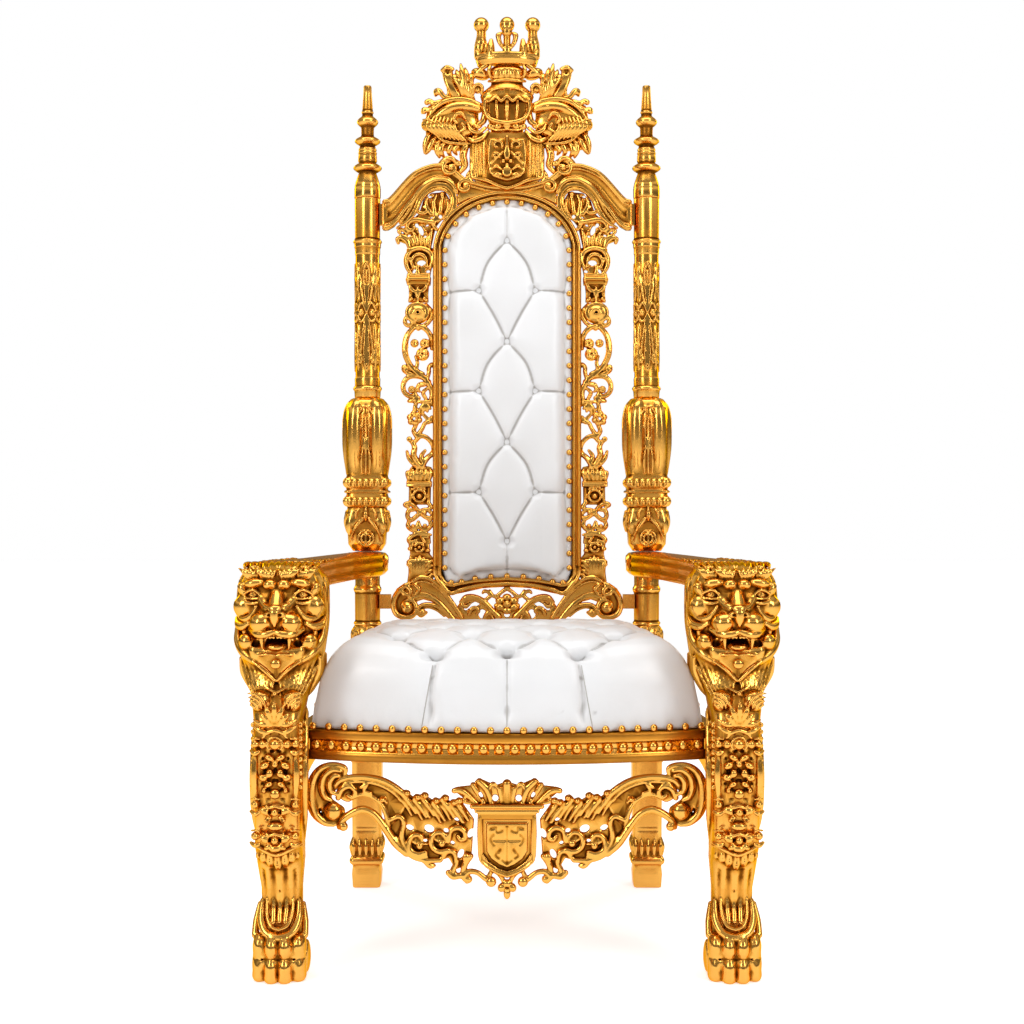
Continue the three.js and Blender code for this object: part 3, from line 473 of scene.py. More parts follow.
def carve_head(clay):
    """The lion's mask, half of it, its middle on the leg's centre line."""
    # mass of the face, muzzle and lower jaw
    clay.blob((0, -306, 632), (72, 52, 66), blend=10)
    clay.blob((0, -345, 606), (46, 36, 32), blend=8)
    clay.blob((0, -322, 552), (66, 42, 36), blend=8)
    clay.blob((0, -322, 668), (60, 34, 24), blend=8)
    # sockets, two brow swellings each side, and a broad bridge of facets down to the nose
    clay.blob((43, -352, 650), (15, 12, 11), turn=0.15, blend=5, cut=True)
    clay.blob((12, -356, 667), (11.5, 11, 8.5), turn=-0.2, blend=2)
    clay.blob((38, -350, 669), (17, 11, 8), turn=-0.1, blend=2.5)
    clay.blob((60, -330, 658), (9, 12, 13), turn=-0.5, blend=3)
    clay.rope([(0, -338, 672), (0, -349, 656), (0, -360, 642), (0, -370, 629)], [9, 11, 12, 12.5], 6)
    clay.rope([(24, -345, 642), (20, -356, 634), (13, -370, 628)], [9, 8, 6], 4)
    clay.rope([(11, -354, 662), (14, -364, 646), (22, -362, 634)], 1.1, 2.5, cut=True)
    clay.blob((0, -381, 629), (13, 8, 5.6), blend=1.5)
    clay.rope([(0, -382, 620), (0, -384, 611), (0, -383, 600)], [11, 7.5, 3], 1.5)
    clay.blob((11, -378, 618), (7, 8, 6), blend=2)
    clay.blob((9.5, -388, 618), (3.4, 6, 3), turn=-0.4, blend=1, cut=True)
    # muzzle pads, lip rolls, cheek folds
    clay.blob((24, -366, 604), (20, 22, 18), turn=-0.2, blend=2)
    clay.rope([(0, -382, 591), (14, -383, 586), (30, -374, 586), (44, -352, 594)], [4, 6, 6.5, 5], 3)
    clay.rope([(10, -388, 607), (0, -389, 592)], [1, 1.4], 1.2, cut=True)
    clay.rope([(0, -390, 596), (0, -388, 584)], 1.2, 1, cut=True)
    clay.rope([(30, -366, 626), (44, -358, 616), (47, -354, 600), (50, -348, 586)], [1.4, 2.4, 2.6, 2], 2,
            cut=True)
    clay.blob((56, -328, 629), (21, 19, 21), turn=0.2, blend=2.5)
    clay.rope([(34, -360, 630), (44, -354, 614), (58, -342, 609), (72, -318, 616)], [3, 5, 5, 3], 1.5)
    clay.rope([(48, -350, 602), (58, -340, 596), (68, -324, 598), (74, -306, 608)], [3, 7, 7.5, 4], 1.5)
    # eyes with heavy lids and pouches
    clay.blob((41, -337, 650), (9, 10, 7.5), blend=1)
    clay.blob((40, -347, 651), (2.4, 3, 2.4), blend=0.5, cut=True)
    clay.rope([(26, -351, 646), (32, -350, 653), (41, -350, 658), (52, -344, 654), (60, -335, 646)], 2.7,
            0.8)
    clay.rope([(26, -351, 646), (35, -349, 643.5), (45, -347, 643), (60, -336, 646)], 2.2, 0.8)
    clay.rope([(30, -352, 637), (42, -350, 635), (56, -342, 638), (66, -328, 648)], [2, 3, 3, 2], 1)
    # pointed jaw
    clay.plate([(-6, 504), (4, 504), (16, 518), (31, 532), (43, 545), (47, 556), (44, 566), (-6, 566)],
            -364, -316, 10, blend=5)
    clay.rope([(40, -362, 540), (20, -368, 526), (2, -366, 508)], [2, 3, 3], 2)
    # open mouth with tongue, teeth and fangs
    clay.blob((0, -376, 570), (25.5, 36, 13), blend=1, cut=True)
    clay.rope([(0, -364, 583), (14, -365, 581), (27, -362, 576)], [3, 3, 3], 1.5)
    for x in (3.2, 9.2, 15):
        clay.blob((x, -369, 580.5), (2.6, 3.4, 3.6), blend=0.4)
    clay.blob((0, -352, 563), (18, 21, 8.5), blend=1)
    clay.rope([(0, -378, 571), (0, -364, 573)], 0.9, 0.8, cut=True)
    for x in (4, 10):
        clay.blob((x, -369, 564), (2.8, 2.4, 2.4), blend=0.5)
    clay.rope([(22.5, -369, 585), (23, -372, 574), (21.5, -370, 559)], [4.4, 3.2, 1.0], 0.8)
    # lower lip with its two lit ridges, then the long pointed chin with a hatched tuft
    clay.rope([(0, -362, 555), (16, -363, 556), (31, -356, 558)], [3.4, 3.4, 3], 1)
    clay.rope([(0, -369, 549), (10, -370, 552), (24, -367, 551), (36, -360, 551)], [2, 2.4, 2.4, 1.6], 0.8)
    clay.blob((0, -370, 536), (9.2, 6, 9.2), turn=math.pi / 4, blend=0.6)
    for x in (0, 4, 8):
        clay.rope([(x, -380, 548 - x), (x, -380, 524 + x)], 0.8, 0.6, cut=True)
    # jaw corner and the strap of flesh that runs round it to the chin
    clay.blob((51, -342, 571), (15, 18, 15), blend=2)
    clay.blob((35, -352, 568), (6, 8, 11), turn=0.3, blend=2, cut=True)
    clay.rope([(72, -308, 590), (69, -322, 570), (56, -342, 552), (36, -356, 538)], [6, 8, 8.5, 6], 3)
    # forehead: a parted fringe of short locks that flick up and out
    for k in range(5):
        lean = -0.8 + 0.45 * k
        for base in (9, 36):
            root = (base + 4 * k, -355 + 0.32 * base + k, 676 + 0.5 * k)
            tip = (root[0] + 15 * math.sin(lean) + 3, root[1] + 9, root[2] + 20 * math.cos(lean * 0.7))
            clay.rope([root, (root[0] + 7 * math.sin(lean) + 1, root[1] - 1, root[2] + 10), tip],
                    [2.8, 3.2, 1.2], 0.3)
    clay.rope([(0, -350, 676), (0, -345, 686), (3, -335, 698)], [2.4, 3, 1.6], 0.8)


def carve_mane(clay):
    """Locks down the sides and back of the head, and the ruff that fans out below the jaw."""
    for k in range(9):
        y = -318 + 10.5 * k
        wave = 3.5 if k % 2 else -3.5
        out = 70 - 0.02 * (y + 275) ** 2 * 0.35
        clay.rope([(out - 14, y, 695), (out + 1, y + wave, 668), (out + 3.5, y - wave, 632),
                   (out + 2, y + wave, 596), (out - 2, y - wave, 562), (out - 4, y + 2, 534)],
                  [3, 5.4, 5.8, 5.8, 5.4, 3], 0.8)
    for k in range(8):
        x = 10 + 7.4 * k
        lean = 0.1 + 0.07 * k
        path = [on_leg(x + 3, 544, 2), on_leg(x + 1 - 6 * lean, 524, 4), on_leg(x - 20 * lean, 502, 4.4),
                on_leg(x - 33 * lean, 482, 1)]
        clay.rope(path, [3, 4.4, 4.2, 1.2], 0.3)
        clay.rope([(px + 1, py - 4.6, pz) for px, py, pz in path[:3]], 0.9, 0.5, cut=True)
    for k in range(7):
        y = -312 + 13 * k
        clay.rope([(66, y, 540), (63, y + 3, 516), (52, y + 4, 494), (43, y + 2, 474)], [4, 5.6, 5, 2], 0.8)
    # top of the head combed back towards the arm
    for k in range(6):
        x = 4 + 11 * k
        clay.rope([(x, -322, 694), (x + 2, -296, 700 - 0.4 * k), (x - 1, -262, 699 - 0.4 * k),
                (x, -236, 697 - k)], [2.5, 4.6, 4.6, 3], 1)


def carve_knee(clay):
    """Leaf scrolls, palmette, bosses and pierced work down the front of the knee."""
    # crossed ribbons, and the curled leaf pair under the mane, ribbed like a shell
    clay.rope([on_leg(34, 508, 4), on_leg(16, 496, 6), on_leg(0, 488, 6), on_leg(-8, 484, 5)],
            [2, 2.6, 2.8, 2.4], 0.6)
    clay.rope([(0, -381, 488)] * 2, 4, 1)
    clay.blob((26, -360, 474), (18, 16, 18), blend=2)
    for k in range(4):
        reach = 6 + 5.4 * k
        ring = [(40 - reach * math.cos(a) * 1.1, -378 - 0.6 * k, 462 + reach * math.sin(a) * 1.2)
                for a in np.linspace(0.0, 1.8, 7)]
        clay.rope(ring, [1, 2.4, 2.8, 2.9, 2.8, 2.4, 1], 0.2)
    # palmette, seven blades that spread from the arch boss
    for k in range(4):
        lean = 0.46 * k
        reach = 44 - 3 * k
        tip = (reach * math.sin(lean) * 0.86, -384 + 1.6 * k, 434 + reach * math.cos(lean))
        middle = (reach * math.sin(lean) * 0.56, -386 + k, 434 + reach * 0.64 * math.cos(lean))
        clay.rope([(1.5 * k, -380, 434), middle, tip], [1.6, 5, 1.4], 0.2)
        clay.rope([(1.5 * k, -385, 438), (middle[0], middle[1] - 4.6, middle[2]), tip], 0.9, 0.4, cut=True)
    for z in (432, 421):
        clay.rope([(7, -379, z), (21, -381, z + 5), (36, -377, z + 13)], [1.8, 4.6, 1.6], 0.3)
        clay.rope([(9, -383, z + 1), (21, -385.5, z + 5), (33, -382, z + 12)], 0.8, 0.4, cut=True)
    # arch over a ringed ball, with balls beside it
    clay.rope([(0, -382, 428), (12, -381, 424), (20, -379, 415)], [3.4, 3.2, 2.4], 0.8)
    clay.blob((0, -376, 404), (10, 11, 10), blend=0.6)
    clay.rope([(12.5 * math.cos(a), -380, 404 + 12.5 * math.sin(a)) for a in np.linspace(-1.7, 1.7, 9)],
            2, 0.5)
    clay.blob((20, -376, 404), (7, 9, 8), blend=0.8)
    clay.blob((16, -382, 391), (5, 10, 4), blend=1, cut=True)
    # pierced leaf cluster, heart boss and the smooth straps either side
    for x, z, wide, tall, turn in ((9, 382, 9, 5.5, 0.5), (0, 371, 6, 6, 0.0), (17, 369, 9, 6, -0.5),
            (9, 356, 7, 8, 0.4),
                                   (20, 349, 8, 6, 0.5), (10, 338, 8, 5, -0.5), (0, 322, 9, 9, 0.0),
                                   (18, 328, 6, 5, 0.4)):
        clay.blob((x, -377, z), (wide, 7, tall), turn=turn, blend=0.6)
    for x, z, wide, tall in ((0, 360, 4, 5.5), (17, 359, 4, 4), (2, 344, 4, 3.4), (22, 338, 4, 4),
            (11, 328, 4, 5),
                             (21, 380, 3, 4), (6, 392, 5, 3), (12, 312, 7, 3.4)):
        clay.blob((x, -378, z), (wide, 9, tall), blend=0.8, cut=True)
    clay.rope([(33, -372, 388), (35, -374, 350), (33, -372, 314)], [4, 6.4, 4], 1)
    clay.rope([(27, -378, 384), (28.5, -379, 350), (27, -378, 318)], 1.2, 0.8, cut=True)
    # two rosettes with a ribbed cup between them, ringed balls at the sides
    for z in (292, 246):
        clay.blob((0, -380, z), (6.6, 7, 6.6), blend=0.6)
        clay.blob((16, -376, z + 2), (11, 8, 7), turn=0.45, blend=0.8)
        clay.blob((11, -376, z - 11), (8, 7, 5), turn=-0.6, blend=0.8)
        clay.rope([(-6, -381, z + 10), (0, -382, z + 11), (9, -381, z + 8), (15, -379, z + 12)],
                [2.4, 2.6, 2.4, 1.6], 0.5)
        clay.blob((8.6, -381, z), (2.4, 8, 4), blend=0.6, cut=True)
    clay.rope([(-8, -380, 278), (0, -380, 277), (13, -379, 280)], 2.6, 1, cut=True)
    clay.blob((0, -374, 268), (14, 9, 8), blend=0.6)
    for x in (0, 5, 10):
        clay.rope([(x, -384, 274), (x * 0.7, -382, 261)], 0.9, 0.5, cut=True)
    clay.blob((0, -376, 232), (10, 8, 6.4), blend=0.8)
    for z in (404, 304, 252):
        clay.blob((33, -372, z), (7.4, 9, 7), blend=0.8)
        clay.rope([(26, -376, z - 12), (33, -376, z - 15), (41, -368, z - 12)], [3, 4.4, 3], 0.8)
        clay.rope([(25, -378, z + 9), (33, -376, z + 10), (41, -367, z + 8)], [1.6, 2.2, 1.6], 0.6)
    for z in (278, 330):
        clay.blob((24, -380, z), (3, 9, 6), blend=0.8, cut=True)
    for k in range(10):
        clay.blob((40.5, -356, 330 + 11.5 * k), (3.4, 4.4, 4.4), blend=0.6)
        clay.blob((41, -330, 316 + 13 * k), (2.8, 4, 5), blend=0.6)
    # side of the knee: one long leaf
    clay.rope([(42, -300, 452), (43, -318, 400), (43, -330, 340), (42, -322, 280), (38, -300, 232)],
            [3, 6, 7, 6, 3], 2)
    clay.rope([(46, -300, 448), (49, -318, 400), (50, -330, 340), (48, -322, 280)], 1.2, 0.8, cut=True)
    for k in range(6):
        z = 430 - 30 * k
        clay.rope([(42, -312, z), (43, -296, z + 14), (40, -286, z + 26)], [3.4, 3.2, 1.6], 1)


def carve_shank(clay):
    """Apron line and shell pendant, fluted shank, cuff and the lion's paw."""
    clay.rope([on_leg(39, 231, 4), on_leg(24, 228, 4), on_leg(12, 221, 5), on_leg(0, 217, 5)],
            [3, 3.6, 3.8, 4], 1)
    for x, low, size in ((0, 190, 7), (12.5, 195, 6.6), (24, 202, 6), (33, 209, 4.4)):
        clay.rope([on_leg(x, 216, 0), on_leg(x, (low + 216) / 2, 1.4), on_leg(x, low + 4, 1)],
                [size * 0.8, size, size * 0.8], 0.4)
        clay.rope([on_leg(x, 213, size), on_leg(x, low + 6, size)], 1, 0.6, cut=True)
    # three flutes between long rounded ribs
    for x, width in ((11, 6.5), (28, 5)):
        clay.rope([on_leg(x, 184, 3.4), on_leg(x, 160, 3), on_leg(x, 112, 3)], width, 3, cut=True)
    for z in (148, 129):
        clay.blob(on_leg(0, z, 0), (1.8, 3, 1.8), blend=0.6, cut=True)
    for k in range(4):
        clay.rope([(39, -330 + 18 * k, 205), (35, -316 + 16 * k, 160), (34, -312 + 15 * k, 112)], 1.6, 2,
                cut=True)
    # cuff: a broad band that dips to the toes, bars standing inside it
    clay.blob((0, -326, 112), (21, 12, 24), blend=2, cut=True)
    for x in (0, 11):
        clay.rope([(x, -314, 138), (x, -318, 116), (x * 0.9, -326, 98)], [3, 4.6, 4.4], 0.5)
    clay.rope([(22, -312, 140), (21.5, -322, 112), (14, -332, 93), (0, -336, 87)], [2.4, 3, 3.2, 3.4], 0.8)
    clay.rope([(31, -304, 128), (31, -320, 100), (21, -334, 81), (0, -341, 75)], [5, 7, 7, 6.6], 1)
    clay.rope([(37, -296, 122), (41, -308, 96), (42, -318, 74)], [4, 6, 6], 1)
    # four toes, each a knuckle over a claw block, and the heel
    clay.blob((0, -327, 36), (45, 21, 46), blend=3)
    for x, y, wide in ((11, -335, 13.5), (32.5, -322, 13)):
        clay.blob((x, y, 57), (wide, 21, 22), blend=3)
        clay.blob((x, y - 2, 24), (wide, 21, 22), blend=3)
        clay.blob((x, y - 3, 10), (wide * 1.02, 19, 14), blend=3)
        clay.rope([(x - wide, y - 8, 40), (x, y - 24, 38.5), (x + wide, y - 8, 40)], [1.6, 2, 1.6], 1,
                cut=True)
    clay.blob((41, -286, 30), (7, 22, 28), blend=2)


leg = Clay((0, -394, 0), (84, -222, 706), 1.8, mirror=True)
leg.sections(LEG_SECTIONS)
carve_shank(leg)
carve_knee(leg)
carve_mane(leg)
carve_head(leg)
# the sole is planed flat on the floor
leg.field[:, :, 0] = np.maximum(leg.field[:, :, 0], 0.01)
make_pair(leg, LEG_X, 0, "lion_leg", "front_leg", 115000)

# ---- arms -----------------------------------------------------------------------------------------
# Moulded hardwood rails from the lion heads back to the posts: two channels run along each side,
# the top is carved with scales near the head, and the back end rolls round the post.
ARM_TOP = 703.0
ARM_LINE = [(-226, 378, 55), (-170, 372, 49), (-50, 357, 41), (110, 336, 38), (230, 316, 40),
        (310, 301, 45), (388, 295, 40)]

arm = Clay((248, -228, 648), (438, 392, 706), 2.2)
slot, (x, y, z) = arm.window(arm.low, (438, 392, 706))
stations = np.array(ARM_LINE, float)
middle = np.interp(y, stations[:, 0], stations[:, 1])
half_width = np.interp(y, stations[:, 0], stations[:, 2])
level = (z - 652) / (ARM_TOP - 652)
inset = np.interp(level, [0, 0.06, 0.16, 0.24, 0.34, 0.44, 0.5, 0.6, 0.7, 0.78, 0.9, 1.0],
                  [7, 3, 0.5, 0.5, 3.4, 3.4, 1.6, 1.6, 3.6, 3.6, 0, 4])
crown = ARM_TOP - 1.2 - 5.0 * (np.abs(x - middle) / half_width) ** 3
body = np.maximum(np.abs(x - middle) - half_width + inset, np.maximum(z - crown, 652 - z))
body = np.maximum(body, np.maximum(-226.5 - y, y - 388))
arm.merge(slot, body.astype(np.float32), 0.5, False)
for k in range(7):
    y = -206 + 22 * k
    fade = 1 - 0.1 * k
    centre = np.interp(y, stations[:, 0], stations[:, 1])
    for row in range(-2, 3):
        across = centre + 19 * row + (9 if k % 2 else 0) - 4
        if abs(across - centre) < 44:
            arm.rope([(across - 8, y - 9, 700), (across - 6, y + 5, 700.5), (across, y + 11, 701),
                    (across + 6, y + 5, 700.5), (across + 8, y - 9, 700)], 2.4 * fade, 0.8)
            arm.rope([(across, y - 8, 700), (across, y + 4, 700.5)], 2 * fade, 0.8)
# acanthus along the outer edge near the head, and the rolled back end
for k in range(6):
    y = -214 + 30 * k
    edge = np.interp(y, stations[:, 0], stations[:, 1] + stations[:, 2])
    arm.rope([(edge - 2, y, 694), (edge - 1, y + 13, 699), (edge - 10, y + 22, 700)], [3, 3.4, 1.6], 1)
arm.blob((258, 352, 678), (8, 26, 22), blend=2)
arm.blob((332, 352, 678), (8, 26, 22), blend=2)
for x in (252.5, 338):
    arm.rope([(x, 352 + 16 * math.cos(a), 678 + 15 * math.sin(a)) for a in np.linspace(0, 5.4, 9)],
            [2.4] * 8 + [1.2], 1)
make_pair(arm, 0, 0, "arm_rail", "arm", 15000)

# ---- back posts -----------------------------------------------------------------------------------
# Each post is built up from turned and carved hardwood: a column below the arm, a square console
# with lobed shoulders on the arm, a tall leaf-carved shaft and a ringed finial. All gilded.
POST_X = 294.0
POST_Y = 356.0
TURN_SIDES = 56


def turned(profile, x=POST_X, y=POST_Y, sides=TURN_SIDES):
    """A turned form from (radius, height) points listed upwards, closed at both ends."""
    rows = np.array(profile, float)
    angles = np.linspace(0, 2 * math.pi, sides, endpoint=False)
    rings = [np.stack([x + r * np.cos(angles), y + r * np.sin(angles), np.full(sides, h)], 1) for r,
            h in rows]
    corners = np.vstack(rings + [[(x, y, rows[0, 1])], [(x, y, rows[-1, 1])]]) / 1000
    faces = []
    for level in range(len(rows) - 1):
        for k in range(sides):
            a, b = level * sides + k, level * sides + (k + 1) % sides
            faces.append((a, b, b + sides, a + sides))
    foot, head, top = len(rows) * sides, len(rows) * sides + 1, (len(rows) - 1) * sides
    for k in range(sides):
        faces.append((foot, (k + 1) % sides, k))
        faces.append((head, top + k, top + (k + 1) % sides))
    return corners, faces


def eased(profile, round_by=1.0):
    """Add a short step either side of each corner of a turned profile so that it shades crisply."""
    rows = [profile[0]]
    for (r0, h0), (r1, h1), (r2, h2) in zip(profile, profile[1:], profile[2:]):
        for (ra, ha) in ((r0, h0), (r2, h2)):
            gap = math.hypot(ra - r1, ha - h1)
            t = min(0.4, round_by / max(gap, 0.01))
            rows.append((r1 + (ra - r1) * t, h1 + (ha - h1) * t))
    return rows + [profile[-1]]


def bead(radius, low, high, rise):
    """Half-round ring between two heights."""
    return [(radius + rise * math.sin(a), low + (high - low) * a / math.pi)
            for a in np.linspace(0, math.pi, 9)]


finial = [(27, 1445.3), (27.6, 1447), (27.8, 1466), (27, 1468), (27.4, 1470), (25, 1480), (21, 1492),
        (18, 1500)]
finial += bead(21, 1501, 1518, 9) + [(18, 1520), (20, 1524), (19.4, 1536)] + bead(18.4, 1538, 1544,
        1.4) + bead(18, 1545, 1551, 1.2)
finial += [(17, 1552), (16, 1557)] + bead(18, 1558, 1574, 9) + [(14, 1576), (13.2, 1580),
        (13.4, 1592)] + bead(14, 1596, 1617, 8.4)
finial += [(11.6, 1619), (11.4, 1623)] + bead(11.4, 1624, 1630, 1.4) + [(11, 1634), (9, 1664),
        (8.4, 1681), (7.4, 1683), (0.5, 1683.6)]
right_finial = make_piece("spire_right", [turned(finial)], gold, ["finial_right"])
mirror_piece(right_finial, "spire_left", ["finial_left"])

# the shaft: plain turned bands above and below a length carved in the round with leaves
shaft = Clay((0, -34, 1022), (34, 34, 1448), 1.5, mirror=True)
slot, (x, y, z) = shaft.window(shaft.low, (34, 34, 1448))
bands = eased([(27, 1025), (27.5, 1038), (29, 1040)], 0.6) + bead(28, 1040, 1049, 2.4) + [(26.6, 1050),
        (27, 1066), (25.4, 1070), (25.4, 1082)]
bands += [(25, 1090), (25, 1306), (25.6, 1312), (25.6, 1326), (26.6, 1328), (26.6, 1340),
        (28, 1342)] + bead(28, 1350, 1358, 2.4) + [(26.4, 1361), (27, 1445)]
bands = np.array(bands)
shaft.merge(slot, np.maximum(np.sqrt(x * x + y * y) - np.interp(z, bands[:, 1], bands[:, 0]),
                             np.maximum(1025.2 - z, z - 1444.8)).astype(np.float32), 0.1, False)


def around(angle, radius, height):
    return (radius * math.sin(angle), -radius * math.cos(angle), height)


# strands of the lily on each face, as (angle from the middle, height) and radius
LILY = [
    ([(0.02, 1206), (0.16, 1252), (0.26, 1280), (0.15, 1298), (0, 1307)], [1.6, 2.2, 2.6, 2.4, 2]),
    ([(0.0, 1214), (0.0, 1290)], [1.4, 2]),
    ([(0.05, 1206), (0.36, 1236), (0.52, 1262), (0.68, 1288)], [1.6, 2.6, 2.8, 1.8]),
    ([(0.68, 1288), (0.5, 1276), (0.4, 1262), (0.42, 1246)], [1.8, 2.2, 2, 1.4]),
    ([(0.02, 1204), (0.3, 1222), (0.62, 1219), (0.82, 1203), (0.62, 1187), (0.3, 1186), (0.02, 1200)],
     [2, 3, 3, 3, 3, 3, 2]),
    ([(0.03, 1198), (0.14, 1150), (0.2, 1116), (0.13, 1094), (0, 1082)], [1.6, 2.2, 2.6, 2.4, 2]),
    ([(0.0, 1186), (0.0, 1096)], [1.4, 2]),
    ([(0.05, 1198), (0.3, 1166), (0.48, 1132), (0.62, 1108)], [1.6, 2.4, 2.6, 2]),
    ([(0.62, 1108), (0.55, 1098), (0.42, 1104), (0.44, 1116)], [2, 2.2, 2.2, 1.4])]
for face in (0.0, math.pi / 2, math.pi):
    for path, size in LILY:
        for side in (-1, 1):
            shaft.rope([around(face + side * a, 25.6, h) for a, h in path], size, 0.4)
    for side in (-1, 1):
        shaft.blob(around(face + side * 0.5, 24.4, 1203), (6, 6, 8), blend=0.6)
for angle in (math.pi / 4, 3 * math.pi / 4):
    for heights in ((1214, 1260, 1292, 1308), (1192, 1146, 1110, 1084)):
        rib = [around(angle, radius, height) for radius, height in zip((23, 25, 26, 25.4), heights)]
        shaft.rope(rib, [2, 4, 4, 1.2], 1.2)
make_pair(shaft, POST_X, POST_Y, "back_post", "post", 35000)

# console on the arm
console = Clay((0, -52, 700), (52, 40, 1027), 1.8, mirror=True)
console.sections([(703.3, 30, -31, 24, 3), (718, 39, -40, 31, 4), (786, 42.4, -43, 33, 5),
        (794, 40, -41, 31, 5), (800, 44, -45, 34, 5), (816, 44, -45, 34, 5), (827, 41, -42, 33, 5),
        (838, 44, -45, 34, 5), (856, 44, -45, 34, 5), (863, 41, -42, 31, 5), (980, 43, -44, 33, 5),
        (1004, 42, -43, 31, 4), (1018, 36, -36, 27, 3), (1024.7, 28, -28, 22, 2.4)])
for height in (807.5, 846.5):
    for across in (0, 12, 24):
        console.blob((across, -43, height), (6.2, 6.5, 7.7), blend=0.8)
    console.blob((38, -38, height), (10.5, 10, 11.5), blend=1)
    for k in range(4):
        console.blob((42, -22 + 14 * k, height), (7, 6.6, 9), blend=0.8)
    console.rope([(-6, -42, height - 8), (34, -42, height - 8)], 4, 2, steps=1)
console.rope([(-6, -41, 827.5), (38, -41, 827.5), (43, -36, 827.5), (43.5, 30, 827.5)], 3, 1, steps=1)
# two tall lobes to each face that swell at the shoulder, with thin strands in the groove between
console.rope([(0, -50, 866), (0, -52, 930), (0, -52, 985), (0, -46, 1012)], [6, 7, 8, 5], 3, cut=True)
for x, y, size in ((23, -36, 1.16), (39, -8, 1.0), (39, 18, 0.8)):
    console.rope([(x * 0.94, y * 0.86, 866), (x, y, 915), (x * 1.01, y * 1.02, 968),
            (x * 0.93, y * 0.96, 1000), (x * 0.76, y * 0.76, 1016)],
            [8 * size, 12.5 * size, 13.5 * size, 12 * size, 8 * size], 2.5)
console.rope([(0, -44, 866), (0, -45, 900), (0, -46, 940), (0, -45, 990)], [2.6, 3, 2.6, 1.6], 0.6)
console.rope([(8, -44, 866), (9, -46, 895), (5, -46, 925), (7, -46, 965), (5, -42, 1006)],
        [2, 2.6, 2, 2.2, 1.4], 0.6)
console.rope([(14, -47, 990), (8, -49, 1000), (0, -48, 1006)], [1.6, 2.4, 2], 0.8)
# drooping leaf pair, its pendant and the nested curl below the beads
console.blob((30, -36, 762), (13, 9, 26), turn=0.12, blend=2)
for k in range(3):
    console.rope([(1 + 2 * k, -43, 778 - 5 * k), (12 + 2 * k, -46, 768 - 5 * k),
            (24 + 1.5 * k, -46, 750 - 4 * k), (31 + k, -42, 728 - 3 * k)], [1.6, 2.2, 2.2, 1.4], 0.3)
console.rope([(0, -44, 794), (0, -48, 780), (0, -45, 768)], [3, 5, 2.4], 0.6)
console.rope([(14, -45, 792), (20, -47, 784), (20, -46, 772)], [2.4, 3.4, 2], 0.6)
for reach, size in ((16, 2.6), (9.5, 2.4)):
    console.rope([(reach * math.cos(a), -42, 730 + reach * math.sin(a))
            for a in np.linspace(-math.pi / 2, 1.35, 7)], size, 0.4)
console.rope([(0, -43, 742), (0, -44, 718)], 2.2, 0.4)
for k in range(4):
    console.rope([(42, -24 + 16 * k, 786), (44, -20 + 15 * k, 764), (42, -14 + 12 * k, 744)], [3, 4.4, 2],
            0.8)
make_pair(console, POST_X, POST_Y, "post_console", "console", 30000)

# column under the arm, with a leafy flare at its foot
column = Clay((0, -39, 499), (39, 39, 653), 1.7, mirror=True)
slot, (x, y, z) = column.window(column.low, (39, 39, 653))
bands = np.array([(29, 500), (34, 506), (34.4, 514), (31, 524), (32.6, 534), (28, 545)]
        + bead(26, 546, 556, 3.6) + [(26.4, 558), (26.8, 612)] + bead(26.6, 615, 629, 3)
        + [(26, 632), (26, 652)])
column.merge(slot, np.maximum(np.sqrt(x * x + y * y) - np.interp(z, bands[:, 1], bands[:, 0]),
                              np.maximum(500.4 - z, z - 651.6)).astype(np.float32), 0.1, False)
for k in range(7):
    angle = k * math.pi / 6
    column.rope([around(angle, 27, 544), around(angle, 31.5, 532), around(angle, 32.4, 518),
            around(angle, 34, 506)], [2, 4, 3.4, 2], 0.8)
make_pair(column, POST_X, POST_Y, "turned_column", "column", 8000)

# ---- rear legs ------------------------------------------------------------------------------------
# Square hardwood legs below the columns, gilded; a roll and a ring of leaves sit above a plain foot.
hind = Clay((0, 316, 0), (36, 389, 502), 2.0, mirror=True)
hind.sections([(0, 29, 323, 386, 8), (28, 31, 322, 385, 8), (41, 29.5, 323, 383, 8),
        (68, 29.5, 323, 383, 8), (74, 29, 323, 383, 8), (102, 30, 322, 384, 8), (112, 30, 322, 383, 8),
        (230, 31, 324, 386, 8), (360, 31, 325, 386.4, 8), (499.8, 31, 325, 386.4, 8)])
hind.rope([(-6, 325, 56), (26, 325, 56), (27, 328, 56), (27, 380, 56), (-6, 380, 56)], 8.6, 2, steps=1)
for k in range(5):
    x = 13 * k
    if x < 30:
        for y, out in ((323, -1), (384, 1)):
            hind.rope([(x, y + out, 70), (x, y + 1.5 * out, 86), (x + 1, y, 103)], [3, 5, 1.4], 0.8)
    hind.rope([(30, 328 + 12.5 * k, 70), (31, 328 + 12.5 * k, 86), (30, 328 + 12.5 * k, 103)],
            [3, 5, 1.4], 0.8)
hind.rope([(30.5, 325, 120), (31, 325, 300), (31, 325, 495)], 1.4, 1.5, cut=True, steps=1)
for height in (16, 120, 128):
    hind.rope([(-6, 322, height), (31, 322, height), (31.4, 386, height), (-6, 386, height)], 0.9, 1,
            cut=True, steps=1)
hind.field[:, :, 0] = np.maximum(hind.field[:, :, 0], 0.01)
make_pair(hind, POST_X, 0, "hind_leg", "rear_leg", 9000)

# ---- front apron ----------------------------------------------------------------------------------
# A pierced hardwood board carved with scrolls, a flame-like comb and a small shield with a cross,
# gilded, glued between the front legs. Only the half with +X is worked; the other mirrors it.
apron = Clay((0, -304, 124), (342, -272, 360), 1.6, mirror=True)
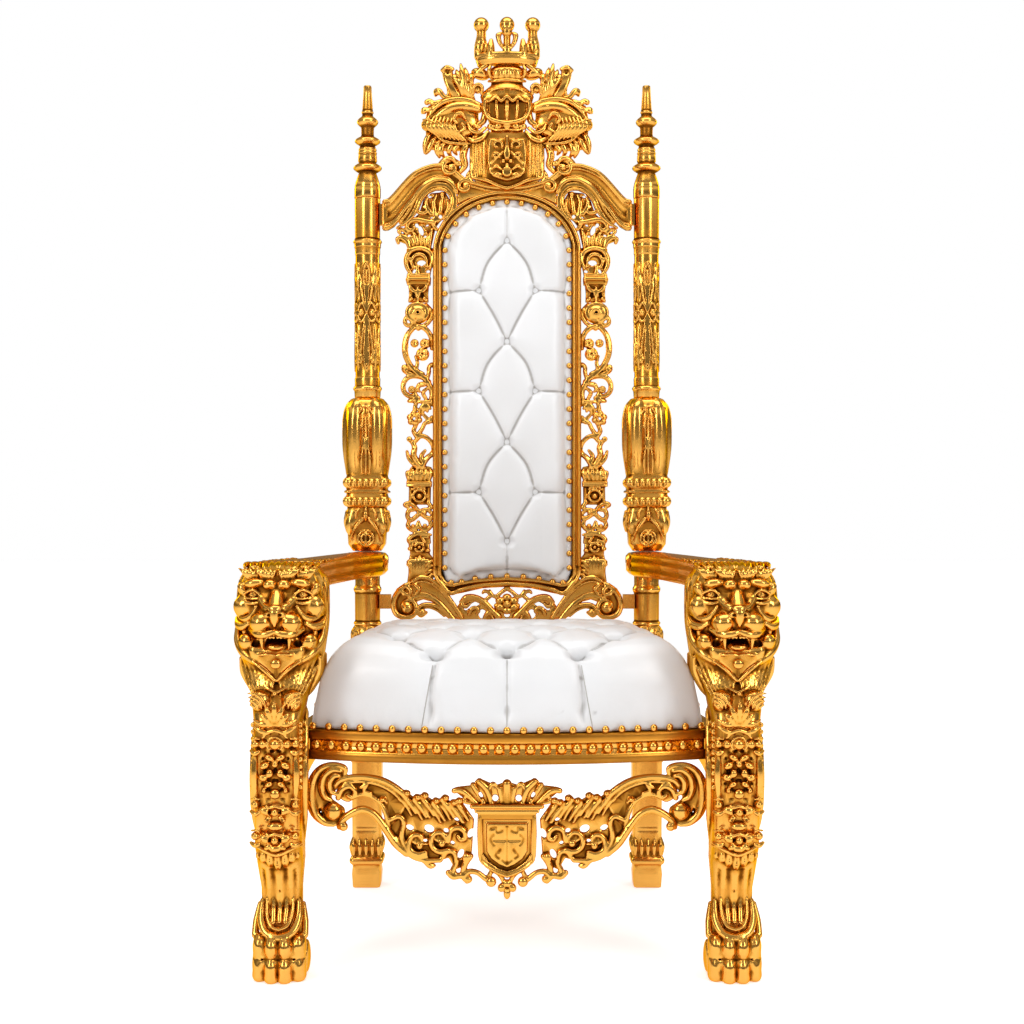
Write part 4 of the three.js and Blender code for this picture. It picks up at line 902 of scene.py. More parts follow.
# grounds
apron.plate([(277, 268), (278, 281), (290, 290), (300, 300), (288, 318), (276, 340), (282, 353),
        (300, 357), (318, 351), (331, 336), (338, 312), (336, 288), (328, 270), (314, 257), (300, 252),
        (285, 254)], -289, -275, 4, steps=3)
apron.plate([(290, 318), (288, 330), (270, 335), (240, 336), (215, 331), (195, 322), (178, 310),
        (172, 285), (200, 250), (206, 272), (215, 290), (240, 303), (256, 306), (264, 295), (274, 292),
        (286, 300)], -288, -275, 3, steps=3)
apron.plate([(204, 250), (186, 214), (168, 200), (150, 192), (118, 190), (100, 196), (88, 176), (72, 182),
        (60, 205), (56, 262), (80, 296), (92, 288), (105, 300), (118, 290), (140, 303), (152, 294),
        (170, 308), (186, 300), (205, 270)], -285, -276, 3)
# the large end scroll with its ball and swirls
apron.ribbon([(277, 340), (276, 349), (285, 354), (302, 355), (320, 347), (332, 328), (335, 300),
        (328, 274), (312, 258), (296, 254)], -288, [4, 5, 5.5, 6, 7, 8, 9, 8, 6, 4], flat=0.8)
apron.ribbon([(284, 346), (298, 348), (311, 338), (316, 320), (311, 303), (300, 296)], -291,
        [3, 5, 6, 6, 5, 3], flat=0.9)
apron.ribbon([(286, 338), (296, 337), (303, 326), (300, 312), (290, 306)], -291, [3, 5, 6, 5, 3])
apron.ribbon([(308, 350), (321, 338), (326, 318), (322, 300)], -297, [1, 1.6, 1.6, 1], cut=True)
apron.ribbon([(293, 343), (306, 336), (310, 320), (304, 305)], -297, [1, 1.6, 1.6, 1], cut=True)
apron.blob((297, -287, 277), (16, 13, 16), blend=1)
apron.ribbon([(318, 286), (319, 275), (311, 266)], -285, [2, 4, 2], cut=True)
apron.ribbon([(318, 286), (319, 275), (311, 266)], -276, [2, 4, 2], cut=True)
# the arm of the second scroll: a roll above, an eye, an acanthus lip
apron.ribbon([(292, 322), (284, 330), (265, 335), (240, 335), (215, 330), (196, 321), (178, 307),
        (166, 292)], -288, [4, 5, 5, 5.5, 6, 6, 6, 3], flat=0.9)
apron.ribbon([(288, 312), (276, 324), (258, 328), (236, 327), (214, 321), (196, 311), (182, 297)], -289,
             [3, 3.4, 3.4, 3.4, 3.4, 3.4, 2])
apron.ribbon([(287, 318), (278, 326), (258, 331.5), (236, 331), (214, 325.5), (194, 315)], -295, 1,
        cut=True)
apron.ribbon([(288, 300), (282, 314), (268, 320), (259, 311), (264, 301), (272, 304)], -289,
        [5, 5, 5, 4.5, 4, 3])
apron.ribbon([(264, 299), (246, 306), (228, 300), (214, 288), (206, 270), (202, 250)], -288,
        [3, 4, 4, 4, 4.5, 4])
apron.ribbon([(250, 318), (240, 322), (244, 312), (232, 308), (238, 304)], -290, [3, 4, 3, 3, 2])
apron.blob((213, -290, 296), (5, 5, 4), blend=1)
apron.ribbon([(226, 300), (220, 296), (211, 300), (206, 292)], -289, 2.4)
# twisted stem that comes back under it
stem = [(286, 250), (280, 262), (266, 273), (248, 280), (233, 276), (220, 265), (205, 244), (190, 222),
        (172, 205)]
apron.ribbon(stem, -288, [5, 6, 6.5, 6.5, 6.5, 6.5, 7, 7, 6])
apron.blob((279, -289, 251), (8, 7, 8), blend=1)
for x, z in curve_through(stem, 3)[2:-2]:
    apron.ribbon([(x - 5, z - 4), (x + 5, z + 4)], -297, 1.1, cut=True)
# comb of curled flames
for x, z, reach in ((172, 312, 12), (154, 305, 9), (141, 308, 12), (122, 299, 9), (106, 304, 11),
        (92, 296, 8), (82, 299, 10)):
    apron.ribbon([(x, z - 3), (x + 4, z - 8), (x - 4, z - 18), (x - 16, z - 38)], -288, [5, 4.5, 4.5, 2.4])
    apron.blob((x - 2, -290, z - 4), (6, 7, 5.5), blend=1)
    apron.ribbon([(x + reach, z - 14), (x + 2, z - 22), (x - 9, z - 42)], -287, [2.5, 3.6, 2])
    apron.ribbon([(x - 3, z - 10), (x - 10, z - 24)], -296, 1, cut=True)
# rolling leaf-scroll in the body
apron.ribbon([(200, 262), (184, 268), (176, 258), (180, 236), (172, 214), (152, 202), (138, 200)], -288,
             [4, 4.5, 4.5, 5, 5, 5, 4])
apron.ribbon([(190, 232), (176, 212), (158, 198), (136, 193), (114, 193)], -288, [4, 4.5, 4.5, 4.5, 4])
for ox, oz, size in ((152, 224, 22), (114, 228, 22)):
    turn = [(ox + size * 0.95 * math.cos(a) * (1 - 0.07 * k), oz + size * math.sin(a) * (1 - 0.07 * k))
            for k, a in enumerate(np.linspace(-2.2, 4.6, 12))]
    apron.ribbon(turn, -288, [5, 5, 5, 5, 4.6, 4.4, 4.2, 4, 3.8, 3.4, 3, 2.5])
    for k in range(5):
        lean = 0.5 + 0.65 * k
        apron.ribbon([(ox, oz - 3), (ox + 9 * math.cos(lean), oz - 3 + 9 * math.sin(lean)),
                (ox + 16 * math.cos(lean + 0.3), oz + 15 * math.sin(lean + 0.3))], -287, [3.4, 3, 1.6])
    apron.blob((ox - 3, -290, oz - 6), (6, 5, 6), blend=0.8)
apron.ribbon([(100, 226), (97, 243), (84, 249), (73, 243), (71, 232), (79, 228), (84, 235)], -288,
             [5, 5, 5, 5, 4.5, 4, 3])
apron.ribbon([(112, 196), (101, 208), (90, 206), (86, 190), (92, 176), (86, 167), (76, 170), (72, 186),
        (62, 200)], -287, [4, 4.5, 4.5, 4.5, 5, 5, 5, 5.5, 5])
apron.ribbon([(100, 172), (92, 165), (80, 166)], -288, [5, 5, 4])
apron.blob((70, -289, 198), (7, 6, 9), blend=1)
apron.ribbon([(140, 192), (131, 184), (124, 184)], -287, [5, 5.5, 3])
for x, z, wide, tall in ((166, 248, 7, 5), (133, 246, 9, 7), (104, 243, 5, 4), (140, 226, 4, 3.5),
        (93, 222, 4, 3),
                         (79, 203, 5, 9), (62, 238, 5, 9), (86, 262, 5, 3)):
    apron.blob((x, -288, z), (wide, 30, tall), turn=0.4, blend=0.8, cut=True)
# shield with its cornice and leaf crest
apron.plate([(-4, 162), (20, 171), (38, 183), (49, 200), (51, 240), (50, 274), (58, 282), (60, 290),
        (-4, 290)], -295, -276, 3)
apron.plate([(-4, 174), (16, 181), (32, 192), (41, 206), (42, 264), (-4, 264)], -300, -290, 1, cut=True)
apron.plate([(-4, 181), (12, 187), (26, 197), (34, 209), (35, 257), (-4, 257)], -295, -286, 1.2)
for path, size in (
        ([(0, 250), (0, 190)], 2.6),
        ([(0, 229), (22, 229)], 2.4),
        ([(0, 190), (7, 195)], 1.8),
        ([(9, 245), (17, 243), (19, 250), (27, 248)], 1.6),
        ([(22, 238), (27, 230), (22, 221)], 1.6),
        ([(12, 212), (18, 204), (14, 199)], 1.8)):
    apron.ribbon(path, -296, size, cut=True)
apron.ribbon([(-4, 286), (60, 286)], -295, 4)
apron.ribbon([(-4, 277), (53, 277)], -294, 2.6)
apron.ribbon([(-4, 166), (20, 175), (38, 187), (47, 203), (48, 268)], -295, 2.2)
apron.plate([(-4, 288), (-4, 328), (20, 320), (42, 330), (52, 330), (60, 320), (80, 318), (92, 312),
        (80, 302), (60, 288)], -284, -276, 2)
for path, size in (([(0, 292), (0, 324)], [7, 8]), ([(8, 292), (13, 316)], [4, 5]),
        ([(26, 292), (34, 314), (47, 328)], [5, 6, 6]),
                   ([(40, 292), (52, 312), (58, 322)], [4, 5, 5]),
                   ([(52, 290), (66, 304), (80, 313), (90, 312)], [4, 5, 6, 5]),
                   ([(60, 290), (74, 294), (72, 300)], [3, 3.5, 3]),
                   ([(30, 318), (24, 324), (18, 320)], [4, 4, 3])):
    apron.ribbon(path, -289, size, flat=0.9)
for x, z in ((48, 324), (0, 318), (86, 311)):
    apron.ribbon([(x - 3, z - 14), (x - 1, z - 2)], -296, 1.2, cut=True)
apron.blob((20, -288, 298), (5.5, 30, 6), blend=0.8, cut=True)
apron.blob((45, -288, 304), (3, 30, 6), turn=-0.5, blend=0.8, cut=True)
# scrolls and pendant below
apron.ribbon([(68, 158), (73, 166), (64, 174), (50, 172), (38, 163), (28, 158)], -288, [5, 6, 5, 4.6, 5, 6])
apron.blob((66, -288, 161), (7, 7, 7), blend=1)
apron.blob((27, -290, 157), (9, 8, 9), blend=1)
apron.ribbon([(30, 168), (24, 176), (12, 168), (6, 158)], -288, [4, 4, 4, 4])
apron.blob((0, -290, 137), (6, 7, 10), blend=1)
apron.blob((9, -289, 147), (7, 7, 8), turn=0.5, blend=1)
apron.blob((0, -289, 154), (8, 7, 7), blend=1)
make_piece("carved_apron", [apron.solid()], gold, ["front_apron"], 85000)

# ---- pierced back frame ---------------------------------------------------------------------------
# One pierced hardwood panel between the posts: a double moulding that arches round the leather,
# a strip of scrolls, rosettes and leaf fans up each side and scrolls below, all gilded.
ARCH_X = 146.0
ARCH_SPRING = 1330.0
ARCH_TOP = 1450.0


def arch(offset, foot=655.0):
    """Path of the arch moulding, moved out by offset, from the foot up to the middle."""
    rise, wide = ARCH_TOP - ARCH_SPRING + offset, ARCH_X + offset
    turn = [(wide * math.cos(a), ARCH_SPRING + rise * math.sin(a)) for a in np.linspace(0, math.pi / 2, 13)]
    return [(wide, foot), (wide, 1000)] + turn


lace = Clay((0, 316, 544), (246, 366, 1466), 1.7, mirror=True)
# arch: outer and inner roll with a hollow between, and the bowed moulding along the foot
outer_edge, inner_edge = arch(9), arch(-9)
lace.plate(outer_edge + [(-4, 1459), (-4, 1441)] + inner_edge[::-1], 337, 362, 2)
lace.ribbon(arch(5) + [(-4, 1455)], 336, 4.6, flat=1.2, steps=1)
lace.ribbon(arch(-5) + [(-4, 1445)], 336, 4.2, flat=1.2, steps=1)
lace.ribbon(arch(0), 333, 1.4, cut=True, steps=1)
lace.plate([(158, 662), (150, 640), (118, 610), (90, 616), (50, 625), (-4, 628), (-4, 646), (50, 641),
        (80, 635), (118, 629), (131, 642), (137, 664)], 338, 362, 2)
lace.ribbon([(143, 668), (138, 650), (130, 638), (118, 631), (102, 634), (80, 638), (50, 642), (0, 645),
        (-6, 645)], 336, 3.8, flat=1.2)
lace.ribbon([(151, 668), (147, 648), (134, 632), (118, 615), (100, 621), (78, 627), (50, 632), (0, 635),
        (-6, 635)], 335, 4.6, flat=1.2)

# leaf spray and fan capital under the crest rail
lace.plate([(160, 1340), (206, 1336), (214, 1350), (230, 1356), (228, 1366), (216, 1372), (205, 1395),
        (185, 1412), (176, 1440), (160, 1455), (130, 1458), (118, 1438), (132, 1408), (150, 1385)], 342,
        360, 3)
for k in range(6):
    x = 163 + 8.4 * k
    lean = -3 + 2.6 * k
    lace.ribbon([(x, 1337), (x + 0.2 * lean, 1352), (x + lean, 1368 - 1.2 * k),
            (x + 1.7 * lean, 1378 - 2.6 * k)], 340, [3.6, 4.6, 4.8, 3])
lace.ribbon([(205, 1340), (212, 1354), (222, 1360), (230, 1358), (228, 1350)], 339, [4, 4.5, 4.5, 4.5, 4])
lace.ribbon([(204, 1362), (212, 1372), (221, 1378), (227, 1374), (222, 1367)], 339, [3, 4, 4.4, 4, 3])
lace.ribbon([(152, 1392), (170, 1394), (190, 1398), (204, 1394), (210, 1383), (202, 1375), (194, 1382)],
        338, [4, 6, 6, 5.5, 5, 4.5, 4])
lace.ribbon([(190, 1440), (193, 1425), (184, 1413), (172, 1412), (168, 1420), (175, 1425)], 338,
        [3, 4, 4.5, 4, 3.4, 3])
lace.ribbon([(155, 1400), (162, 1415), (170, 1432), (166, 1448)], 339, [4, 5, 5, 3])
lace.ribbon([(150, 1396), (152, 1416), (154, 1434), (148, 1450)], 339, [4, 5.5, 5.5, 3])
lace.ribbon([(146, 1398), (140, 1416), (138, 1434), (134, 1450)], 339, [4, 5.5, 5.5, 3])
lace.ribbon([(144, 1396), (130, 1408), (123, 1424), (124, 1440)], 339, [4, 4.5, 4.5, 3])
lace.blob((136, 340, 1452), (6, 7, 6), blend=1)
lace.ribbon([(148, 1378), (158, 1394), (150, 1402)], 340, [4, 4.4, 3])
for x, z, wide, tall in ((181, 1377, 5, 12), (172, 1364, 3.4, 4), (168, 1388, 4, 3), (158, 1404, 4, 3),
        (206, 1366, 4, 4),
                         (162, 1448, 5, 3), (140, 1406, 4, 6), (190, 1388, 4, 6)):
    lace.blob((x, 345, z), (wide, 40, tall), turn=-0.3, blend=0.8, cut=True)

# ring, waisted collar and block
lace.plate([(155, 1340), (211, 1338), (213, 1310), (210, 1290), (204, 1280), (162, 1280), (158, 1300)],
        342, 360, 3)
lace.ribbon([(162, 1296), (157, 1312), (162, 1330), (180, 1338), (200, 1334), (211, 1318), (210, 1300),
        (202, 1286)], 339, [4, 5, 5.5, 5.5, 5.5, 5.5, 5, 4], flat=1.1)
lace.ribbon([(168, 1305), (172, 1320), (183, 1326), (195, 1322), (201, 1310)], 339, [3, 4, 4.4, 4, 3])
lace.ribbon([(186, 1286), (188, 1300), (178, 1306), (168, 1300)], 339, [4.4, 4.4, 4, 3])
lace.ribbon([(204, 1316), (198, 1302), (192, 1290)], 338, [3, 4, 4])
lace.blob((180, 345, 1309), (10, 40, 7), blend=1, cut=True)
lace.blob((195, 345, 1291), (4, 40, 6), turn=0.3, blend=1, cut=True)
lace.blob((166, 345, 1291), (4.5, 40, 4), blend=1, cut=True)
lace.plate([(161, 1262), (210, 1262), (213, 1273), (209, 1284), (163, 1284), (160, 1273)], 337, 361, 3)
lace.ribbon([(166, 1274), (206, 1274)], 336, 4.4)
lace.ribbon([(163, 1283), (208, 1283)], 338, 2.6)
for x in (164, 207):
    lace.blob((x, 338, 1273), (5, 6, 8), blend=0.6)
lace.plate([(165, 1226), (208, 1226), (206, 1240), (207, 1262), (164, 1262), (166, 1244)], 342, 360, 2)
lace.ribbon([(168, 1262), (178, 1250), (187, 1247), (196, 1250), (205, 1262)], 340, [3, 3.4, 4, 3.4, 3])
for x in (169, 187, 204):
    lace.ribbon([(x, 1256), (x * 0.4 + 112, 1242), (x, 1229)], 340, [3.4, 4, 3.6])
for x in (178, 196):
    lace.blob((x, 340, 1240), (4, 6, 7), blend=1, cut=True)
# boss, curl and the two climbing scrolls
lace.blob((188, 346, 1203), (26, 16, 23), blend=1)
lace.ribbon(ring(188, 1203, 22, 19, -1.3, 3.9, 12), 338, 4)
lace.ribbon([(176, 1205), (183, 1210), (192, 1208), (198, 1200)], 333, [3, 4, 4, 2.4])
lace.blob((187, 336, 1203), (5, 6, 4), blend=1, cut=True)
lace.ribbon([(170, 1220), (160, 1208), (158, 1196), (166, 1182), (176, 1176)], 342, [4.4, 4.8, 4.8, 4.6, 4])
lace.ribbon([(196, 1184), (206, 1176), (214, 1182), (212, 1192), (204, 1194), (200, 1188)], 340,
        [4, 4.6, 4.6, 4.6, 4, 3])
lace.ribbon([(196, 1186), (190, 1174), (186, 1170)], 342, 5)
for path, size in (
        ([(196, 1172), (208, 1158), (214, 1138), (213, 1115), (203, 1093), (188, 1077), (172, 1065),
          (161, 1048),
          (158, 1030), (162, 1016)], [5, 6, 6.4, 6.4, 6, 6, 6, 5.6, 5, 4.4]),
        ([(186, 1176), (172, 1170), (162, 1158), (157, 1140), (158, 1128)], [5, 5.6, 5.4, 5, 4]),
        ([(204, 1166), (212, 1150), (209, 1132)], [3, 4, 2]),
        ([(176, 1075), (190, 1084), (188, 1098), (192, 1112)], [4, 4.4, 4, 3]),
        ([(168, 1063), (164, 1078), (164, 1088), (158, 1095), (154, 1090)], [4, 4.6, 4.8, 4.4, 3.4]),
        ([(196, 1073), (206, 1076), (216, 1082), (217, 1090), (209, 1089), (203, 1082)],
         [4, 5, 4.6, 4.4, 4, 3.4]),
        ([(176, 1066), (192, 1070), (207, 1068), (217, 1056), (217, 1040), (207, 1029), (196, 1030),
          (193, 1040),
          (200, 1045)], [4, 5, 5.4, 5.4, 5.4, 5.2, 4.6, 4, 3.4]),
        ([(162, 1060), (172, 1054), (183, 1052), (188, 1044), (184, 1038)], [3, 5.4, 5.6, 4.4, 3]),
        ([(163, 1048), (176, 1036), (170, 1022)], [3, 4.4, 4]),
        ([(190, 1030), (196, 1020), (206, 1018)], [4, 5.4, 4]),
        ([(186, 1024), (192, 1010), (194, 996)], [5, 4.6, 5]),
        ([(186, 1000), (176, 990), (164, 978), (155, 975)], [3.4, 3.6, 4.4, 4]),
        ([(160, 1012), (154, 1010), (152, 1016)], [4, 4.4, 3.4]),
        ([(158, 984), (163, 974), (172, 972), (178, 960), (186, 948)], [4, 4.4, 4.4, 4.6, 5]),
        ([(192, 966), (196, 955), (190, 944)], [4.6, 5, 5]),
        ([(206, 938), (198, 930), (194, 920), (196, 905), (188, 890), (180, 880)],
         [4.6, 5, 6, 6.4, 6, 5]),
        ([(192, 934), (182, 944), (170, 942), (158, 930), (154, 916), (160, 906)], [4.6, 5, 5, 5, 5, 4]),
        ([(210, 912), (206, 898), (196, 886), (186, 878)], [3.4, 4.6, 5, 5]),
        ([(172, 914), (180, 902), (176, 888)], [3.4, 5, 5]),
        ([(154, 908), (166, 900), (174, 888), (176, 878)], [4.4, 6, 5.6, 5])):
    lace.ribbon(path, 342, size, flat=1.3)
    lace.ribbon([(x + 1.2, z + 1.2) for x, z in path[1:-1]], 342 - 1.3 * min(size) - 1.5, 1.0, cut=True)
for x, z, size in ((194, 1139, 9), (172, 1138, 11), (177, 1116, 14), (200, 1042, 8), (205, 938, 6),
        (212, 1084, 6)):
    lace.blob((x, 340, z), (size, size * 0.9, size), blend=1)
    for a in np.linspace(0, 2 * math.pi, 5, endpoint=False):
        lace.blob((x + size * 0.62 * math.cos(a), 340 - size * 0.7, z + size * 0.62 * math.sin(a)),
                  (size * 0.38, size * 0.3, size * 0.38), blend=0.6)
    lace.blob((x, 340 - size * 0.95, z), (size * 0.22, size * 0.3, size * 0.22), blend=0.6, cut=True)
for k in range(4):
    a = 0.5 + 0.75 * k
    lace.ribbon([(172, 1014), (172 + 8 * math.cos(a), 1009 - 8 * math.sin(a)),
            (172 + 12 * math.cos(a), 1006 - 11 * math.sin(a))], 339, [3.4, 4.2, 3])
lace.ribbon([(160, 1016), (184, 1016)], 338, 3.6)
for k in range(6):
    a = 1.05 * k + 0.3
    lace.blob((194 + 10 * math.cos(a), 340, 981 + 10 * math.sin(a)), (7, 7, 7), blend=0.8)
lace.ribbon(ring(194, 981, 5, 5, 0, 5, 7), 332, [2.6] * 6 + [1.4])
# palmette, capital, rosette block, knot, collar, rosette and acanthus foot
lace.plate([(161, 850), (209, 850), (210, 868), (200, 882), (180, 884), (160, 880), (153, 868)], 344, 360,
        2)
for k in range(6):
    t = k / 5
    lace.ribbon([(164 + 42 * t, 852), (160 + 49 * t, 866),
            (158 + 52 * t - 6 * (t - 0.5), 878 - 14 * abs(t - 0.4))], 340, [4.2, 5, 3.4])
lace.blob((156, 340, 868), (6, 6, 4.4), blend=0.8)
lace.blob((204, 340, 857), (5, 6, 5), blend=0.8)
lace.plate([(158, 838), (211, 838), (211, 850), (158, 850)], 336, 361, 2)
lace.ribbon([(160, 846), (209, 846)], 336, 2.6)
lace.ribbon([(160, 840.5), (209, 840.5)], 336, 2.2)
lace.plate([(161, 800), (207, 800), (206, 838), (160, 838)], 342, 361, 2)
for x in (164, 203):
    lace.ribbon([(x, 838), (x, 802)], 341, 3)
lace.ribbon(ring(184, 819, 13, 12, 0, 6.3, 13), 340, 3)
lace.blob((184, 338, 818), (6, 6, 6), blend=0.6)
lace.ribbon([(172, 833), (178, 838), (184, 832), (190, 838), (197, 833)], 339, 2.8)
for path in ([(206, 802), (196, 798), (184, 785), (170, 774), (160, 772), (156, 780), (163, 786)],
             [(166, 806), (160, 796), (166, 790), (178, 788), (190, 776), (202, 768), (209, 776),
              (206, 788), (196, 789)],
             [(209, 804), (214, 800), (208, 795)],
             [(205, 768), (208, 756), (200, 748), (190, 752), (186, 764)],
             [(164, 772), (160, 758), (168, 748), (180, 750), (186, 762)],
             [(200, 748), (186, 741), (170, 746)]):
    lace.ribbon(path, 342, [4] + [5] * (len(path) - 2) + [3.6], flat=1.2)
for x, z in ((173, 783), (197, 755), (172, 756)):
    lace.blob((x, 338, z), (5, 6, 5), blend=0.8)
lace.plate([(160, 718), (208, 718), (206, 738), (162, 740)], 344, 360, 2)
lace.ribbon([(160, 737), (176, 740), (194, 737), (206, 728), (202, 721), (190, 726)], 340,
        [3, 4.4, 4.6, 4.8, 4.4, 3])
lace.ribbon([(166, 732), (180, 733), (172, 722)], 340, 3.4)
lace.plate([(162, 695), (204, 695), (205, 718), (163, 718)], 343, 360, 2)
lace.ribbon(ring(184, 711, 9, 9, 0.4, 5.8, 10), 340, 3.2)
lace.blob((184, 338, 711), (4, 5, 4), blend=0.6)
for x, z in ((203, 708), (201, 716), (166, 704)):
    lace.blob((x, 341, z), (6, 6, 5), blend=0.8)
lace.plate([(158, 640), (208, 636), (206, 660), (208, 680), (204, 696), (162, 696), (152, 684),
        (150, 655)], 345, 361, 2)
for k in range(7):
    t = k / 6
    lace.ribbon([(206 - 30 * t, 640 + 2 * k), (202 - 34 * t, 660), (204 - 42 * t, 680),
            (208 - 50 * t, 692 - 4 * abs(3 - k))], 341, [3.4, 5, 5, 3.4])
for k in range(4):
    lace.ribbon([(168, 646 + 10 * k), (158, 654 + 10 * k), (152, 660 + 9 * k)], 338, [2.6, 3.6, 2.4])
lace.blob((206, 339, 675), (5.5, 6, 5), blend=0.8)
# shoulders and volutes at the foot
lace.plate([(196, 640), (214, 634), (232, 618), (241, 598), (238, 575), (225, 563), (208, 561),
        (194, 567), (187, 580), (190, 596), (176, 601), (158, 596), (140, 584), (128, 574), (112, 562),
        (96, 562), (108, 586), (124, 610), (142, 634), (160, 646), (180, 650)], 342, 361, 3)
lace.ribbon([(206, 634), (222, 624), (234, 608), (238, 590), (232, 572), (215, 564), (198, 568),
        (190, 582), (195, 596), (208, 600), (220, 592), (218, 580)], 337,
        [5, 6, 6.4, 6.4, 6.4, 6, 6, 5.4, 5, 4.4, 4, 3], flat=1.1)
lace.blob((209, 338, 584), (13, 12, 13), blend=1)
lace.ribbon([(228, 584), (222, 575), (212, 574)], 327, 2, cut=True)
for offset, size in ((0, 4.2), (-9, 2.4), (-33, 2.6), (-39, 3.6)):
    lace.ribbon([(198, 640 + offset * 0.9), (180, 648 + offset), (160, 643 + offset),
            (141, 629 + offset * 0.97), (122, 606 + offset * 0.9), (104, 580 + offset * 0.8),
            (94, 562 + offset * 0.5)], 337, size)
lace.ribbon([(214, 632), (202, 622), (206, 612), (218, 612)], 335, [4, 5, 4, 3])
lace.ribbon([(228, 622), (216, 616), (204, 606)], 335, [4, 4.4, 3])
lace.ribbon([(192, 632), (184, 624), (190, 616)], 335, [4, 4.6, 3.4])
lace.ribbon([(170, 574), (180, 568), (186, 576), (180, 588), (164, 591), (146, 586), (130, 573),
        (116, 560)], 340, [4, 5, 5, 5, 5, 5, 5, 4], flat=1.2)
lace.ribbon([(176, 583), (163, 584), (147, 578), (132, 566)], 339, 2.2)
lace.blob((178, 339, 574), (8, 7, 8), blend=1)
# centre foot: arcs, rosette, chevron and curls, part hidden behind the seat
lace.plate([(96, 600), (84, 607), (66, 608), (48, 600), (30, 582), (14, 562), (14, 548), (120, 548),
        (112, 575)], 346, 361, 3)
lace.plate([(-4, 610), (14, 600), (28, 590), (26, 575), (60, 580), (60, 548), (-4, 548)], 346, 361, 3)
for x, z, wide, tall in ((68, 590, 16, 5), (52, 570, 8, 10), (18, 566, 5, 6), (86, 582, 5, 4),
        (0, 568, 6, 5)):
    lace.blob((x, 350, z), (wide, 40, tall), turn=-0.5 if x > 60 else 0.0, blend=1, cut=True)
lace.ribbon([(97, 596), (86, 606), (68, 606), (50, 598), (34, 582), (20, 564), (14, 550)], 341,
        [4, 6, 6.4, 6, 6, 5.6, 5], flat=1.2)
lace.ribbon([(94, 592), (84, 600), (68, 599), (53, 591), (38, 575), (28, 560)], 338, 2)
lace.ribbon([(94, 590), (86, 586), (78, 592)], 338, [4, 4, 2.6])
lace.ribbon([(80, 570), (74, 582), (64, 584), (59, 577), (64, 571)], 341, [4, 4.4, 4, 3.6, 3])
lace.ribbon([(46, 600), (36, 608), (38, 616), (47, 619), (51, 615)], 341, [4, 4.4, 4, 4, 3])
lace.ribbon([(36, 620), (30, 610), (22, 608), (10, 618), (0, 624), (-6, 622)], 341,
        [3, 4, 4.4, 4.4, 4.6, 4.6])
lace.ribbon([(50, 556), (42, 572), (30, 576), (18, 568), (10, 552)], 340, [4, 5, 5.4, 5, 4])
for k in range(6):
    a = 1.05 * k + 0.52
    lace.blob((17 * math.cos(a), 340, 592 + 14 * math.sin(a)), (10, 8, 8), blend=0.8)
lace.blob((0, 334, 592), (9, 8, 8), blend=0.8)
lace.ribbon([(5 * math.cos(a), 592 + 5 * math.sin(a)) for a in np.linspace(0, 6.3, 8)], 327, 1.4, cut=True)
make_piece("back_surround", [lace.solid()], gold, ["back_frame"], 140000)

# ---- crest rail -----------------------------------------------------------------------------------
# The moulded rail that ties the two posts over the arch; each arm rises in an S from its tenon and
# hooks back round on itself above the leather.
rail = Clay((0, 318, 1370), (264, 362, 1522), 1.6, mirror=True)
top_edge = [(262, 1438), (250, 1440), (240, 1448), (225, 1465), (210, 1482), (200, 1492), (188, 1501),
        (170, 1509), (150, 1514), (128, 1512), (108, 1500), (88, 1484), (60, 1474), (30, 1468),
        (-4, 1466)]
low_edge = [(262, 1377), (250, 1378), (238, 1385), (225, 1400), (214, 1416), (200, 1432), (186, 1452),
        (172, 1466), (150, 1477), (128, 1477), (112, 1466), (104, 1452)]
rail.plate(top_edge + [(-4, 1450), (40, 1449), (80, 1442), (104, 1430)] + low_edge[::-1], 334, 358, 2)
rail.plate([(200, 1432), (186, 1452), (172, 1466), (150, 1477), (128, 1477), (112, 1462), (106, 1440),
        (112, 1418), (122, 1400), (132, 1398), (122, 1418), (117, 1437), (122, 1452), (135, 1462),
        (150, 1462), (165, 1455), (178, 1440), (186, 1420), (200, 1404), (216, 1392), (228, 1392)], 334,
        358, 2)
for inset, size in ((3, 4.2), (11, 2.2)):
    rail.ribbon([(x, z - inset) for x, z in top_edge], 333, size, flat=1.2)
for inset, size in ((3, 4), (10, 2.2)):
    rail.ribbon([(x + (1 if x < 120 else 0), z + inset) for x, z in low_edge], 333, size, flat=1.2)
rail.ribbon([(258, 1408), (246, 1411), (232, 1424), (214, 1446), (196, 1468), (176, 1484), (152, 1494),
        (128, 1492)], 330, [7, 8, 8, 8, 8, 7, 6, 3], blend=4, cut=True)
for path in ([(218, 1386), (202, 1400), (188, 1418), (180, 1438), (166, 1454), (150, 1461), (134, 1461),
        (122, 1452),
              (117, 1437), (122, 1418), (132, 1399)],
             [(230, 1380), (212, 1394), (196, 1416), (184, 1442), (168, 1460), (150, 1468), (130, 1467),
              (116, 1455),
              (111, 1437), (115, 1418), (124, 1402)],
             [(222, 1394), (206, 1416), (192, 1440), (176, 1460), (152, 1472), (128, 1471), (112, 1456),
              (106, 1436),
              (109, 1418)]):
    rail.ribbon(path, 334, 3, flat=1.2)
rail.blob((262, 345, 1408), (6, 30, 40), blend=1, cut=True)
rail.plate([(250, 1378), (262, 1378), (262, 1438), (250, 1440)], 334, 358, 2)
make_piece("shoulder_rail", [rail.solid()], gold, ["crest_rail"], 25000)

# ---- crest carving --------------------------------------------------------------------------------
# A crown over a barred helm, leaf mantling with shell bosses either side and a fluted shield below,
# one deeply carved and gilded block that stands on the crest rail.
crest = Clay((0, 308, 1446), (184, 366, 1826), 1.7, mirror=True)


def wrap(radius, centre_y, angles, height):
    return [(radius * math.sin(a), centre_y - radius * 0.48 * math.cos(a), height) for a in angles]


